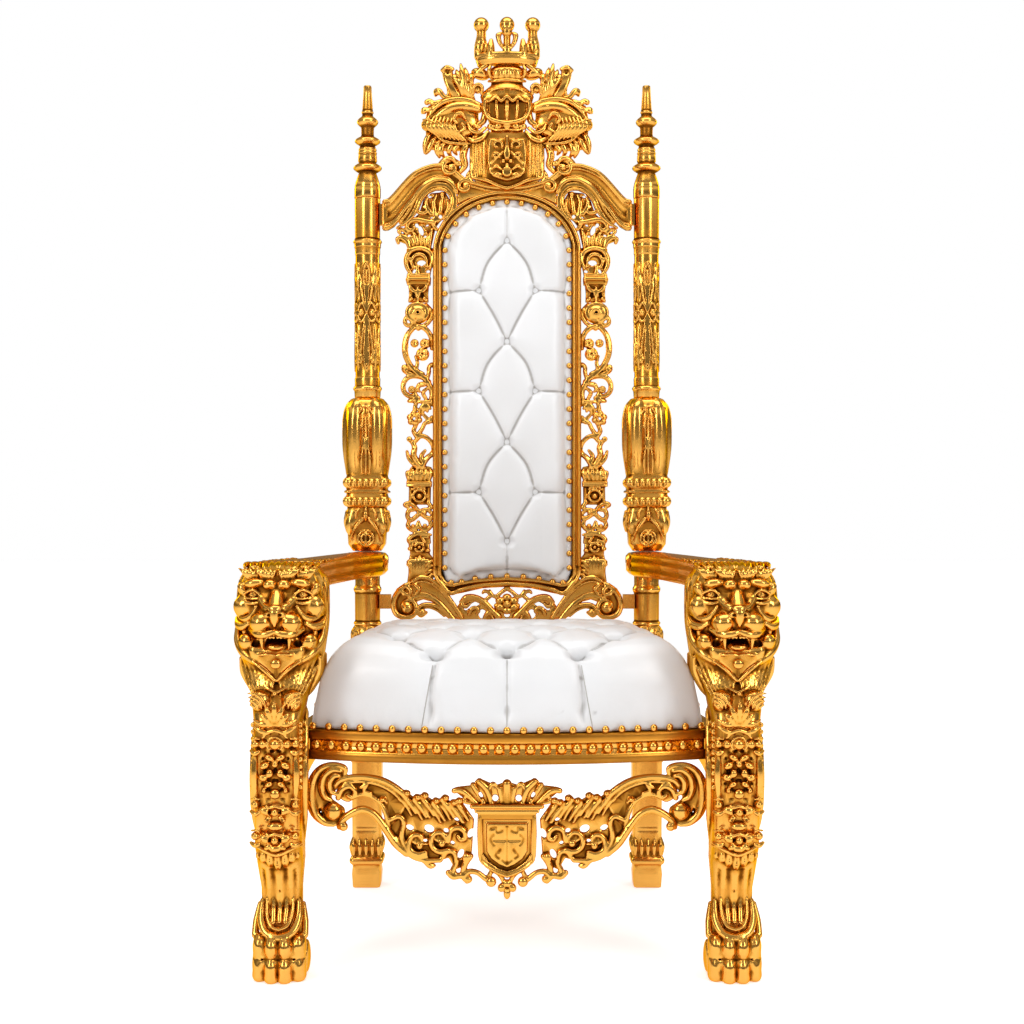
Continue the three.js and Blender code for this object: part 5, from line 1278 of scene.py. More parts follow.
# crown
turn = np.linspace(-0.12, 1.75, 9)
for height, radius, size in ((1741, 63, 5), (1733, 61, 4), (1725, 58, 5)):
    crest.rope(wrap(radius, 348, turn, height), size, steps=2)
crest.rope(wrap(56, 348, turn, 1733), 9, steps=2)
crest.blob((0, 348, 1732), (56, 16, 10), blend=1)
crest.rope([(58, 342, 1742), (57, 341, 1762), (54, 341, 1782), (54, 341, 1794)], [11, 11.5, 10, 9.5], 1)
for height in (1768, 1750):
    crest.rope([(46, 332, height + 4), (55, 329, height - 2), (66, 334, height + 4)], [1.2, 1.4, 1.2], 1,
            cut=True)
crest.rope([(54, 341, 1770)] * 2, 12, 1)
crest.blob((54, 341, 1807), (16, 16, 16), blend=1)
crest.rope([(34, 326, 1742), (34, 327, 1758), (33, 328, 1771)], [9, 8, 4.5], 1)
crest.rope([(45, 332, 1742), (44, 331, 1756), (43, 332, 1764)], [7, 5, 3], 1)
for x in (29, 34, 39, 45):
    crest.rope([(x, 317 + 0.12 * (x - 25), 1748), (x * 0.9 + 3.4, 319 + 0.12 * (x - 25), 1764)], 0.9, 0.8,
            cut=True)
crest.rope([(0, 322, 1742), (0, 321, 1760), (0, 322, 1788)], [10, 7.5, 8], 1)
crest.rope([(4, 318, 1748), (14, 318, 1762), (18, 319, 1776), (14, 320, 1783)], [3, 4.6, 5.4, 4], 1)
crest.blob((18, 320, 1779), (6, 6, 6), blend=1)
crest.rope([(8, 314, 1756), (11, 314, 1768)], 2, 1, cut=True)
crest.rope([(0, 321, 1790), (0, 321, 1786)], 10.5, 1)
crest.blob((0, 326, 1803), (15.5, 15.5, 16.5), blend=1)
crest.blob((0, 318, 1750), (9, 6, 8), blend=1)
# cap under the crown with its two side lobes
crest.blob((0, 340, 1704), (40, 20, 21), blend=2)
crest.blob((56, 344, 1705), (20, 14, 12), turn=0.3, blend=2)
crest.rope([(38, 332, 1722), (52, 332, 1714), (66, 338, 1703), (72, 342, 1694)], [4, 5, 4.6, 3], 1)
for x in (6, 18, 30):
    crest.rope([(x * 0.6, 320, 1716), (x, 319 + 0.2 * x, 1702), (x * 1.05, 322 + 0.2 * x, 1690)],
            [1, 2, 1.4], 1.6, cut=True)
crest.rope([(34, 328, 1720), (38, 324, 1706), (34, 326, 1694)], [3, 4.4, 2.6], 1)
crest.rope([(0, 326, 1688), (24, 328, 1687), (38, 336, 1688)], [3.6, 3.6, 3], 1)
# helm
crest.sections([(1582, 34, 330, 360, 2.4), (1600, 37, 326, 360, 2.4), (1630, 49, 320, 360, 2.4),
        (1656, 56, 318, 360, 2.2), (1668, 48, 320, 360, 2.2), (1680, 34, 326, 360, 2.2),
        (1690, 33, 328, 360, 2.2)], blend=1)
crest.plate([(-4, 1646), (12, 1640), (24, 1646), (40, 1642), (39, 1622), (32, 1608), (16, 1602),
        (-4, 1601)], 300, 332, 2, cut=True)
for x, size in ((0, 5.6), (22, 4.6)):
    crest.rope([(x, 322 + 0.1 * x, 1648), (x * 0.98, 321 + 0.1 * x, 1630),
            (x * 0.9, 322 + 0.1 * x, 1604)], [2.4, size, size * 0.7], 1)
crest.rope([(-12, 317, 1642), (0, 317, 1652), (12, 317, 1642), (24, 319, 1652), (38, 325, 1643),
        (52, 336, 1656)], 3, 1, steps=3)
crest.rope([(46, 326, 1646), (47, 323, 1626), (38, 321, 1608), (18, 318, 1599), (-4, 317, 1596)], 4.4, 0.8)
crest.rope([(0, 317, 1670), (24, 319, 1667), (44, 328, 1660), (54, 338, 1656)], [2, 2, 2, 2], 1)
crest.rope([(0, 314, 1664), (20, 317, 1661)], 2, 2, cut=True)
for x in (0, 18, 33):
    crest.blob((x, 322 + 0.18 * x, 1591), (9, 7, 7), blend=1)
crest.rope([(-4, 319, 1582), (20, 321, 1581), (36, 328, 1586)], 3.4, 1)
crest.rope([(0, 318, 1576), (20, 322, 1575), (34, 328, 1580)], 5, 3, cut=True)
# curled ears at the helm's brow
crest.blob((62, 340, 1671), (9, 9, 8), blend=1)
crest.rope([(54, 334, 1662), (52, 332, 1674), (60, 330, 1680), (70, 332, 1674), (70, 334, 1662)],
        [3, 4, 4, 4, 3], 1)
# plumes
for k, (x, z, y) in enumerate(((78, 1704, 344), (88, 1716, 341), (97, 1724, 338), (106, 1712, 340),
        (113, 1702, 341))):
    crest.rope([(74 + 4 * k, 342, 1650), (76 + 5.5 * k, y - 7, 1668 + 2 * k),
            (x - 3, y - 6, (z + 1672) / 2 + 8), (x, y, z)], [5, 6, 5.6, 2.6], 0.8)
for k in range(3):
    crest.rope([(96 + 5 * k, 342, 1650), (110 + 4 * k, 338, 1670), (119 + 4 * k, 338, 1690),
            (119 + 6 * k, 342, 1709)], [5, 5.6, 5.6, 5.6], 0.8)
crest.rope([(114, 338, 1714), (126, 336, 1717), (136, 340, 1712)], [4, 5, 4], 0.8)
crest.blob((124, 330, 1706), (6, 8, 5), blend=1, cut=True)
crest.plate([(62, 1640), (74, 1676), (80, 1700), (98, 1718), (112, 1698), (122, 1706), (130, 1700),
        (126, 1668), (134, 1645)], 346, 358, 3)
for x, z in ((104, 1694), (80, 1684)):
    crest.blob((x, 350, z), (3, 30, 4), blend=1, cut=True)
# leaf tips round the shell
for path in ([(96, 344, 1648), (118, 340, 1652), (132, 338, 1656), (142, 338, 1668), (149, 342, 1668),
        (150, 344, 1660)],
             [(110, 344, 1642), (134, 338, 1646), (152, 338, 1642), (164, 342, 1648), (169, 344, 1644)],
             [(136, 342, 1636), (150, 338, 1634), (162, 339, 1628), (174, 343, 1630), (178, 345, 1624)],
             [(150, 342, 1620), (162, 340, 1614), (170, 342, 1606)],
             [(156, 344, 1584), (166, 340, 1572), (172, 341, 1556), (173, 344, 1540)],
             [(148, 342, 1574), (156, 338, 1562), (164, 339, 1546), (170, 343, 1538)],
             [(138, 342, 1566), (146, 338, 1556), (147, 338, 1542), (142, 342, 1530)],
             [(126, 342, 1562), (136, 338, 1552), (138, 339, 1540), (132, 343, 1530)],
             [(108, 342, 1566), (116, 338, 1554), (122, 339, 1542), (118, 343, 1532)],
             [(96, 342, 1566), (102, 338, 1554), (110, 339, 1544), (106, 343, 1536)],
             [(84, 342, 1570), (90, 338, 1556), (97, 339, 1546)]):
    crest.rope(path, [4] + [5.6] * (len(path) - 2) + [3], 0.8)
    crest.rope([(x + 1.5, y - 6.4, z + 1) for x, y, z in path[1:-1]], 1, 0.8, cut=True)
for x, z, size in ((147, 1665, 6), (168, 1645, 6), (174, 1626, 6)):
    crest.blob((x, 341, z), (size, size, size), blend=1)
crest.plate([(60, 1640), (96, 1650), (140, 1650), (166, 1640), (172, 1610), (170, 1560), (160, 1548),
        (140, 1545), (100, 1545), (80, 1560), (60, 1575)], 346, 358, 4)
# smooth shoulder of the scroll, and the ribbed shell that it curls over
crest.blob((112, 342, 1602), (54, 16, 38), blend=2)
crest.rope([(60, 338, 1630), (84, 334, 1634), (112, 332, 1632), (138, 335, 1620), (156, 338, 1604)],
        [9, 11, 11, 9, 5], 3)
for k in range(8):
    low, high = (84 + 8.5 * k, 1560 + 1.6 * k), (104 + 8.2 * k, 1612 + 2.2 * k - 0.9 * k * k * 0.4)
    swing = (low[0] + 0.78 * (high[0] - low[0]) + 9, (low[1] + high[1]) / 2)
    crest.rope([(low[0], 333, low[1]), (swing[0], 325 + 0.25 * k, swing[1]),
            (high[0], 328 + 0.5 * k, high[1])], [2, 4.4, 1.6], 0.3)
crest.rope([(78, 330, 1556), (104, 331, 1556), (132, 333, 1562), (154, 336, 1580)], [2.4, 3.2, 3.2, 2.4],
        0.8)
crest.rope([(58, 336, 1640), (76, 332, 1646), (100, 331, 1649), (128, 332, 1645), (150, 336, 1632),
        (164, 340, 1614)], [4, 5, 5.4, 5.4, 5, 4], 1)
crest.rope([(86, 322, 1606), (94, 318, 1616), (106, 319, 1614), (110, 320, 1604), (104, 321, 1597)],
        [3, 4, 4.4, 4, 3], 1)
crest.blob((99, 316, 1606), (4.4, 6, 4.4), blend=1, cut=True)
crest.rope([(94, 321, 1596), (88, 322, 1586), (98, 324, 1580)], [3, 4, 3], 1)
crest.blob((167, 340, 1597), (13, 13, 13), blend=1)
crest.rope([(176, 332, 1606), (164, 327, 1606), (156, 331, 1597), (160, 333, 1586)], 2, 0.8)
# dark hollow with leaf between helm and shell
crest.rope([(48, 334, 1640), (46, 334, 1620), (50, 334, 1604), (60, 332, 1596)], [5, 7, 7, 5], 2)
crest.blob((63, 322, 1580), (13, 12, 9), turn=-0.3, blend=2, cut=True)
crest.rope([(46, 330, 1588), (60, 326, 1578), (76, 326, 1584), (82, 328, 1596)], [4, 4.4, 4.4, 3], 1)
crest.rope([(54, 326, 1592), (60, 322, 1588), (68, 324, 1594)], [3, 3.6, 3], 1)
crest.rope([(40, 328, 1580), (52, 324, 1566), (68, 324, 1560), (80, 328, 1566)], [4, 5, 5, 4], 1)
# neck scrolls and volutes that ride on the rail
crest.rope([(80, 340, 1562), (88, 336, 1548), (92, 334, 1530), (88, 334, 1512), (98, 336, 1498)],
        [6, 8, 8, 7, 5], 1)
crest.rope([(86, 330, 1548), (95, 328, 1530), (90, 328, 1510)], 1.4, 1, cut=True)
for centre, size in (((118, 1505), 21), ((88, 1467), 17)):
    coil = [(centre[0] + size * (1 - 0.075 * k) * math.cos(a), 334 - 0.5 * k,
            centre[1] + 0.86 * size * (1 - 0.075 * k) * math.sin(a)) for k,
            a in enumerate(np.linspace(2.6, -5.2, 11))]
    crest.rope(coil, [5.4, 5.4, 5.4, 5.2, 5, 5, 4.6, 4.4, 4, 3.6, 3], 1, steps=3)
    crest.blob((centre[0], 340, centre[1]), (size * 0.9, 8, size * 0.8), blend=1)
    crest.blob((centre[0], 330, centre[1]), (size * 0.3, 7, size * 0.28), blend=1)
crest.rope([(104, 334, 1512), (114, 328, 1524), (128, 330, 1524), (140, 336, 1514), (146, 340, 1500)],
        [4, 5, 5, 5, 3.4], 1)
crest.rope([(76, 336, 1500), (82, 332, 1486), (72, 334, 1476)], [4, 5, 4], 1)
# shield: fluted border, smaller shield with a leaf and berries
crest.plate([(-4, 1456), (16, 1462), (40, 1473), (66, 1480), (74, 1488), (75, 1560), (72, 1572),
        (40, 1580), (-4, 1582)], 326, 358, 3)
for x, size in ((48, 4), (56, 3), (64, 4)):
    crest.rope([(x, 328, 1480 + 0.05 * x), (x, 326, 1530), (x, 328, 1566)], size, 0.2)
crest.rope([(71, 330, 1492), (71, 329, 1566)], [2.4, 2.4], 0.2)
crest.rope([(-4, 324, 1460), (18, 325, 1467), (42, 326, 1478), (66, 328, 1484), (74, 330, 1492),
        (75, 332, 1540), (74, 334, 1566)], 3.6, 0.8)
crest.plate([(-4, 1474), (12, 1478), (28, 1484), (38, 1494), (41, 1520), (40, 1548), (36, 1564),
        (-4, 1566)], 318, 340, 3)
crest.rope([(-4, 318, 1478), (12, 318, 1482), (26, 319, 1488), (34, 320, 1498), (37, 320, 1520),
        (36, 320, 1550)], 2.4, 0.8)
crest.rope([(0, 318, 1568), (0, 315, 1548), (0, 315, 1530), (0, 317, 1520)], [3, 4, 7, 3], 0.8)
for centre_x, centre_z, size in ((20, 1550, 11), (23, 1528, 7)):
    crest.rope([(centre_x + size * (1 - 0.1 * k) * math.cos(a), 317 - 0.3 * k,
            centre_z + size * (1 - 0.1 * k) * math.sin(a)) for k,
            a in enumerate(np.linspace(3.4, -1.6, 7))], [3, 3, 3, 2.8, 2.6, 2.4, 2], 0.5)
crest.rope([(4, 318, 1540), (14, 317, 1530), (30, 318, 1516), (36, 320, 1504)], [1.6, 2.2, 2.2, 1.4], 0.5)
for x, z, size in ((8, 1516, 4.6), (0, 1508, 4.6), (0, 1494, 11)):
    crest.blob((x, 316, z), (size, size * 0.9, size), blend=0.6)
crest.rope([(10, 318, 1498), (22, 316, 1506), (34, 319, 1500)], [2, 4, 1.6], 0.5)
crest.rope([(9, 318, 1488), (20, 316, 1490), (30, 319, 1488)], [2, 3.6, 1.6], 0.5)
# nothing stands out past the front of the block
crest.field[:, :2, :] = 5
make_piece("carved_crest", [crest.solid()], gold, ["crest_carving"], 110000)

# ---- seat rails -----------------------------------------------------------------------------------
# The front rail is a bowed three-step moulding with a row of big half beads in its channel; the side
# and back rails are plainer. Hardwood, gilded, tenoned into the legs.
RAIL_HALF = 341.0
RAIL_END_Y = -278.0
RAIL_BOW = 63.0
BEADS = 26


def bow(x):
    return RAIL_END_Y - RAIL_BOW * (1 - (x / RAIL_HALF) ** 2)


def swept(profile, path):
    """A closed profile of (outward, height) carried along a path of (place, outward direction)."""
    rings = [[(px + out * nx, py + out * ny, h) for out, h in profile] for (px, py), (nx, ny) in path]
    count = len(profile)
    faces = []
    for level in range(len(rings) - 1):
        for k in range(count):
            a, b = level * count + k, level * count + (k + 1) % count
            faces.append((a, a + count, b + count, b))
    faces.append(tuple(range(count)))
    faces.append(tuple(range((len(rings) - 1) * count, len(rings) * count))[::-1])
    return np.array([corner for ring in rings for corner in ring]) / 1000, faces


def roll(low, high, out, rise):
    return [(out + rise * math.sin(a), low + (high - low) * a / math.pi)
            for a in np.linspace(0, math.pi, 7)]


line = []
for x in np.linspace(-RAIL_HALF, RAIL_HALF, 61):
    slope = 2 * RAIL_BOW * x / RAIL_HALF ** 2
    size = math.hypot(slope, 1)
    line.append(((x, bow(x)), (slope / size, -1 / size)))
face = [(-33, 364.3), (-1, 364.3), (-0.4, 364.9), (-0.4, 376.6), (-1.4, 378), (-0.4, 380.4),
        (-6.2, 381.2), (-6.8, 390), (-6.2, 398.8)]
face += [(-0.4, 399.6), (-1.4, 402), (-0.4, 403.4), (-0.4, 414.1), (-1, 414.7), (-33, 414.7)]
make_piece("bow_rail", [swept(face[::-1], line)], gold, ["seat_rail_front"])


STUD_SIDES = 12
STUD_RINGS = 8


def stud_group(name):
    """Node group that sets one small turned form on every point, facing along its 'facing' vector."""
    group = bpy.data.node_groups.new(name, "GeometryNodeTree")
    for label, kind in (("Points", "Geometry"), ("Radius", "Float"), ("Height", "Float"),
            ("Material", "Material")):
        group.interface.new_socket(label, in_out="INPUT", socket_type="NodeSocket" + kind)
    group.interface.new_socket("Studs", in_out="OUTPUT", socket_type="NodeSocketGeometry")
    node = group.nodes.new
    entry = node("NodeGroupInput")
    result = node("NodeGroupOutput")
    ball = node("GeometryNodeMeshUVSphere")
    size = node("ShaderNodeCombineXYZ")
    stretch = node("GeometryNodeTransform")
    direction = node("GeometryNodeInputNamedAttribute")
    turn = node("FunctionNodeAlignRotationToVector")
    put = node("GeometryNodeInstanceOnPoints")
    real = node("GeometryNodeRealizeInstances")
    smooth = node("GeometryNodeSetShadeSmooth")
    paint = node("GeometryNodeSetMaterial")
    ball.inputs["Segments"].default_value = STUD_SIDES
    ball.inputs["Rings"].default_value = STUD_RINGS
    ball.inputs["Radius"].default_value = 1.0
    direction.data_type = "FLOAT_VECTOR"
    direction.inputs["Name"].default_value = "facing"
    turn.axis = "Z"
    link = group.links.new
    link(entry.outputs["Radius"], size.inputs["X"])
    link(entry.outputs["Radius"], size.inputs["Y"])
    link(entry.outputs["Height"], size.inputs["Z"])
    link(ball.outputs["Mesh"], stretch.inputs["Geometry"])
    link(size.outputs["Vector"], stretch.inputs["Scale"])
    link(direction.outputs["Attribute"], turn.inputs["Vector"])
    link(entry.outputs["Points"], put.inputs["Points"])
    link(stretch.outputs["Geometry"], put.inputs["Instance"])
    link(turn.outputs["Rotation"], put.inputs["Rotation"])
    link(put.outputs["Instances"], real.inputs["Geometry"])
    link(real.outputs["Geometry"], smooth.inputs["Geometry"])
    link(smooth.outputs["Geometry"], paint.inputs["Geometry"])
    link(entry.outputs["Material"], paint.inputs["Material"])
    link(paint.outputs["Geometry"], result.inputs["Studs"])
    return group


studs = stud_group("studs")


def set_studs(name, spots, radius, rise, material):
    """A run of domed heads or beads at (place, facing) spots, in millimetres, as one piece."""
    mesh = bpy.data.meshes.new(name + "_points")
    mesh.from_pydata([tuple(c / 1000 for c in place) for place, _ in spots], [], [])
    layer = mesh.attributes.new("facing", "FLOAT_VECTOR", "POINT")
    layer.data.foreach_set("vector", np.array([facing for _, facing in spots], np.float32).ravel())
    piece = bpy.data.objects.new(name, mesh)
    bpy.context.collection.objects.link(piece)
    maker = piece.modifiers.new("studs", "NODES")
    maker.node_group = studs
    sockets = {item.name: item.identifier for item in studs.interface.items_tree if item.in_out == "INPUT"}
    maker[sockets["Radius"]] = radius / 1000
    maker[sockets["Height"]] = rise / 1000
    maker[sockets["Material"]] = material
    bpy.context.view_layer.update()
    made = bpy.data.meshes.new_from_object(piece.evaluated_get(bpy.context.evaluated_depsgraph_get()))
    piece.modifiers.clear()
    piece.data = made
    made.name = name
    bpy.data.meshes.remove(mesh)
    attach(piece, "root")
    return piece


def rail_spot(x, out, height):
    slope = 2 * RAIL_BOW * x / RAIL_HALF ** 2
    size = math.hypot(slope, 1)
    facing = (slope / size, -1 / size, 0.0)
    return (x + out * facing[0], bow(x) + out * facing[1], height), facing


BEAD_INSET = 13
BEAD_HEIGHT = 390
bead_step = 2 * (RAIL_HALF - BEAD_INSET) / (BEADS - 1)
beads = [rail_spot(-RAIL_HALF + BEAD_INSET + bead_step * k, -5.0, BEAD_HEIGHT) for k in range(BEADS)]
set_studs("seat_rail_beads", beads, 9.4, 10.0, gold)
NAILS = 25
NAIL_INSET = 8
NAIL_HEIGHT = 421.5
SIDE_NAILS = 18
nail_step = 2 * (RAIL_HALF - NAIL_INSET) / (NAILS - 1)
front_nails = [rail_spot(-RAIL_HALF + NAIL_INSET + nail_step * k, -2.0, NAIL_HEIGHT) for k in range(NAILS)]
side_nails = []
for k in range(SIDE_NAILS):
    y = -214 + 30.5 * k
    for side in (-1, 1):
        side_nails.append(((side * (336 - 40 * (y + 214) / 530), y, NAIL_HEIGHT), (side, 0.0, 0.0)))

# ---- upholstery -----------------------------------------------------------------------------------
# White semi-gloss leather over foam: a high bow-fronted seat tufted in diamonds with pleats run down
# its front, and a padded back tufted with ten covered buttons. Both are nailed at the edge.


LEATHER_WHITE = (0.72, 0.722, 0.732, 1)
LEATHER_SHADE = (0.65, 0.648, 0.65, 1)
# painted shade: the leather is multiplied towards grey-brown in folds, pleats and button pits
FOLD_UNSHADED = (1, 1, 1, 1)
FOLD_PAINTED_SHADE = (0.3, 0.26, 0.23, 1)


def leather_hide():
    """White upholstery leather: fine grain, faint creasing, painted grey-brown shade in the folds."""
    paint = bpy.data.materials.new("white_leather")
    paint.use_nodes = True
    tree = paint.node_tree
    body = tree.nodes["Principled BSDF"]
    body.inputs["Specular IOR Level"].default_value = 0.5
    body.inputs["Coat Weight"].default_value = 0.18
    body.inputs["Coat Roughness"].default_value = 0.22
    place = shader_node(tree, "ShaderNodeTexCoord")
    hollow = shader_node(tree, "ShaderNodeAttribute", attribute_name="hollow")
    grain = shader_node(tree, "ShaderNodeTexVoronoi", {"Scale": 620.0})
    wrinkle = shader_node(tree, "ShaderNodeTexNoise", {"Scale": 38.0, "Detail": 5.0, "Roughness": 0.6})
    cloud = shader_node(tree, "ShaderNodeTexNoise", {"Scale": 6.0, "Detail": 2.0})
    tone = shader_node(tree, "ShaderNodeValToRGB")
    light, shade = tone.color_ramp.elements
    light.position, light.color = 0.3, LEATHER_WHITE
    shade.position, shade.color = 0.8, LEATHER_SHADE
    # painted shade in the hollows of the pad, read from the hollow depth
    fold_shade = shader_node(tree, "ShaderNodeValToRGB")
    unshaded, deep = fold_shade.color_ramp.elements
    unshaded.position, unshaded.color = 0.38, FOLD_UNSHADED
    deep.position, deep.color = 1.0, FOLD_PAINTED_SHADE
    both = shader_node(tree, "ShaderNodeMix", data_type="RGBA", blend_type="MULTIPLY")
    both.inputs["Factor"].default_value = 1.0
    shine = shader_node(tree, "ShaderNodeMapRange", {"To Min": 0.3, "To Max": 0.46})
    rough = shader_node(tree, "ShaderNodeBump", {"Strength": 0.12, "Distance": 0.0006})
    soft = shader_node(tree, "ShaderNodeBump", {"Strength": 0.16, "Distance": 0.003})
    link = tree.links.new
    for texture in (grain, wrinkle, cloud):
        link(place.outputs["Object"], texture.inputs["Vector"])
    link(cloud.outputs["Fac"], tone.inputs["Fac"])
    link(hollow.outputs["Fac"], fold_shade.inputs["Fac"])
    link(tone.outputs["Color"], both.inputs["A"])
    link(fold_shade.outputs["Color"], both.inputs["B"])
    link(both.outputs["Result"], body.inputs["Base Color"])
    link(wrinkle.outputs["Fac"], shine.inputs["Value"])
    link(shine.outputs["Result"], body.inputs["Roughness"])
    link(wrinkle.outputs["Fac"], soft.inputs["Height"])
    link(grain.outputs["Distance"], rough.inputs["Height"])
    link(soft.outputs["Normal"], rough.inputs["Normal"])
    link(rough.outputs["Normal"], body.inputs["Normal"])
    return paint


leather = leather_hide()


def corners_of(mesh, kind="co"):
    values = np.empty(len(mesh.vertices) * 3, np.float32)
    mesh.vertices.foreach_get(kind, values)
    return values.reshape(-1, 3).astype(float)


PRESSURE = 4.0
BLOWING_FRAMES = 20


def swollen_pad(name, form, cap, hold):
    """Blow a stitched shape up like a filled cover, moving no point further than cap, and smooth it.

    hold gives, for each corner, how free it is to move, from 0 to 1."""
    mesh = bpy.data.meshes.new(name)
    mesh.from_pydata(form[0], [], [tuple(int(i) for i in side) for side in form[1]])
    mesh.update()
    pad = bpy.data.objects.new(name, mesh)
    bpy.context.collection.objects.link(pad)
    start = corners_of(mesh)
    cloth = pad.modifiers.new("cloth", "CLOTH")
    cloth.settings.quality = 4
    cloth.settings.use_pressure = True
    cloth.settings.uniform_pressure_force = PRESSURE
    cloth.settings.effector_weights.gravity = 0.0
    cloth.settings.bending_stiffness = 2.0
    cloth.point_cache.frame_start = 1
    cloth.point_cache.frame_end = BLOWING_FRAMES
    for frame_number in range(1, BLOWING_FRAMES + 1):
        bpy.context.scene.frame_set(frame_number)
    blown = pad.evaluated_get(bpy.context.evaluated_depsgraph_get()).to_mesh()
    end = corners_of(blown)
    pad.evaluated_get(bpy.context.evaluated_depsgraph_get()).to_mesh_clear()
    pad.modifiers.clear()
    bpy.context.scene.frame_set(1)
    move = np.nan_to_num(end - start) * hold(start)[:, None]
    size = np.linalg.norm(move, axis=1, keepdims=True)
    move *= np.minimum(1.0, cap / np.maximum(size, 1e-9))
    mesh.vertices.foreach_set("co", (start + move).astype(np.float32).ravel())
    finer = pad.modifiers.new("finer", "SUBSURF")
    finer.levels = 1
    bpy.context.view_layer.update()
    smooth = bpy.data.meshes.new_from_object(pad.evaluated_get(bpy.context.evaluated_depsgraph_get()))
    pad.modifiers.clear()
    pad.data = smooth
    bpy.data.meshes.remove(mesh)
    smooth.name = name
    return pad


PLEAT_REACH = 17.0
LINE_REACH = 3.6


def tuft(across, along, buttons, pleats, button_depth, pleat_depth, line_depth):
    """How deep each point is pulled in by buttons and pleats, all lengths in millimetres."""
    depth = np.zeros(len(across))
    for bx, bz, wide in buttons:
        gap = np.hypot(across - bx, along - bz)
        depth = np.maximum(depth, button_depth * np.exp(-(gap / wide) ** 1.5))
    nearest = np.full(len(across), 1e3)
    for (ax, az), (bx, bz), bend in pleats:
        middle = ((ax + bx) / 2 + bend * (bz - az), (az + bz) / 2 - bend * (bx - ax))
        path = curve_through([(ax, az), middle, (bx, bz)], 6)
        for (px, pz), (qx, qz) in zip(path, path[1:]):
            run, rise = qx - px, qz - pz
            t = np.clip(((across - px) * run + (along - pz) * rise) / (run * run + rise * rise), 0, 1)
            nearest = np.minimum(nearest, np.hypot(across - px - t * run, along - pz - t * rise))
    valley = pleat_depth * np.exp(-(nearest / PLEAT_REACH) ** 1.3)
    line = line_depth * np.exp(-(nearest / LINE_REACH) ** 2)
    return np.maximum(depth, valley) + line


def dress_pad(pad, triangles, nodes):
    pad.data.update()
    thinned(pad, triangles)
    mesh = pad.data
    mesh.polygons.foreach_set("use_smooth", [True] * len(mesh.polygons))
    mark_painted_shade(mesh)
    mesh.materials.clear()
    mesh.materials.append(leather)
    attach(pad, "root")
    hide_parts(*nodes)


# seat: bow-fronted block, narrower at the back, domed
SEAT_FOOT = 415.4
SEAT_HEAD = 574.0
SEAT_SWELL = 0.010
SEAT_TRIANGLES = 60000
SWELL_LEVELS = [0, 0.2, 0.45, 0.62, 0.78, 0.9, 1]
block = Clay((0, -352, 408), (350, 318, 590), 8.0, mirror=True)
slot, (x, y, z) = block.window(block.low, (360, 330, 610))
lift = np.clip((z - SEAT_FOOT) / (SEAT_HEAD - SEAT_FOOT), 0, 1)
side_gap = np.interp(lift, SWELL_LEVELS, [-3, -3, 2, 11, 26, 51, 112])
front_gap = np.interp(lift, SWELL_LEVELS, [8, 4, 4, 10, 24, 48, 130])
back_gap = np.interp(lift, [0, 0.3, 0.6, 0.8, 0.92, 1], [6, 5, 12, 26, 44, 90])
taper = 42.0 * (y + 300) / 600
walls = np.maximum.reduce([x + 0 * y - (336 - side_gap - taper), bow(x) + 4 + front_gap - y + 0 * x,
        y - 308 + back_gap + 0 * x])
crown = SEAT_HEAD - 16 * np.clip((y + 80) / 300, 0, 1) ** 2
block.merge(slot, np.maximum(walls * 0.8, np.maximum(SEAT_FOOT - z, z - crown)).astype(np.float32), 6.0,
        False)


def seat_freedom(place):
    return np.clip((place[:, 2] * 1000 - SEAT_FOOT - 6) / 110, 0, 1)


seat = swollen_pad("seat_pad", block.solid(), SEAT_SWELL, seat_freedom)
place, facing = corners_of(seat.data) * 1000, corners_of(seat.data, "normal")
drop = np.maximum(SEAT_HEAD + 4 - place[:, 2], 0)
across = place[:, 0] + np.sign(place[:, 0]) * drop * facing[:, 0] ** 2 * 0.8
along = place[:, 1] - drop * np.where(facing[:, 1] < 0, facing[:, 1] ** 2, 0)
rows = [-308, -230, -148, -62, 28, 122, 218]
seat_buttons, seat_pleats = [], []
for level, row in enumerate(rows):
    for x in ((-125, 0, 125) if level == 0 else (-250, -125, 0, 125, 250)) if level % 2 == 0 else (-188,
            -62, 62, 188):
        seat_buttons.append((x, row, 17))
        if level + 1 < len(rows):
            for side in (-63, 63):
                if abs(x + side) < 255:
                    seat_pleats.append(((x, row), (x + side, rows[level + 1]),
                            0.06 * (1 if side > 0 else -1)))
        if abs(x) == 250:
            seat_pleats.append(((x, row), (x * 1.75, row - 6), 0.0))
for x in (-125, 0, 125):
    seat_pleats.append(((x, rows[0] - 30), (x * 1.16, -560), 0.0))
    seat_pleats.append(((x, rows[-1]), (x, 420), 0.0))
depth = tuft(across, along, seat_buttons, seat_pleats, 28.0, 7.0, 3.0)
hold = np.clip((place[:, 2] - SEAT_FOOT - 4) / 30, 0, 1) * np.clip((facing[:, 2] + 0.6) / 0.4, 0, 1)
place = place - facing * (depth * hold)[:, None]
place[:, 2] = np.maximum(place[:, 2], 415.3)
seat.data.vertices.foreach_set("co", (place / 1000).astype(np.float32).ravel())
dress_pad(seat, SEAT_TRIANGLES, ["seat_cushion"])

# back pad: flat nailed border and a plump middle
BACK_SWELL = 0.009
BACK_TRIANGLES = 40000
pad_clay = Clay((0, 312, 606), (142, 366, 1450), 6.0, mirror=True)


def foot_of(offset):
    return [(x * (1 - offset / 150), z + offset) for x,
            z in ((130, 640), (118, 629), (100, 632), (70, 638), (36, 642), (-8, 643))]


border = [p for p in arch(-8.6, 668)] + [(-8, 1441)]
pad_clay.plate(border + foot_of(1)[::-1], 337, 360, 2, steps=1)
middle_edge = [p for p in arch(-23, 676)] + [(-8, 1427)]
pad_clay.plate(middle_edge + foot_of(17)[::-1], 324, 360, 7, blend=3, steps=1)


def back_freedom(place):
    inside = np.clip((0.13 - np.abs(place[:, 0])) / 0.03, 0, 1)
    return inside * (place[:, 1] < 0.34)


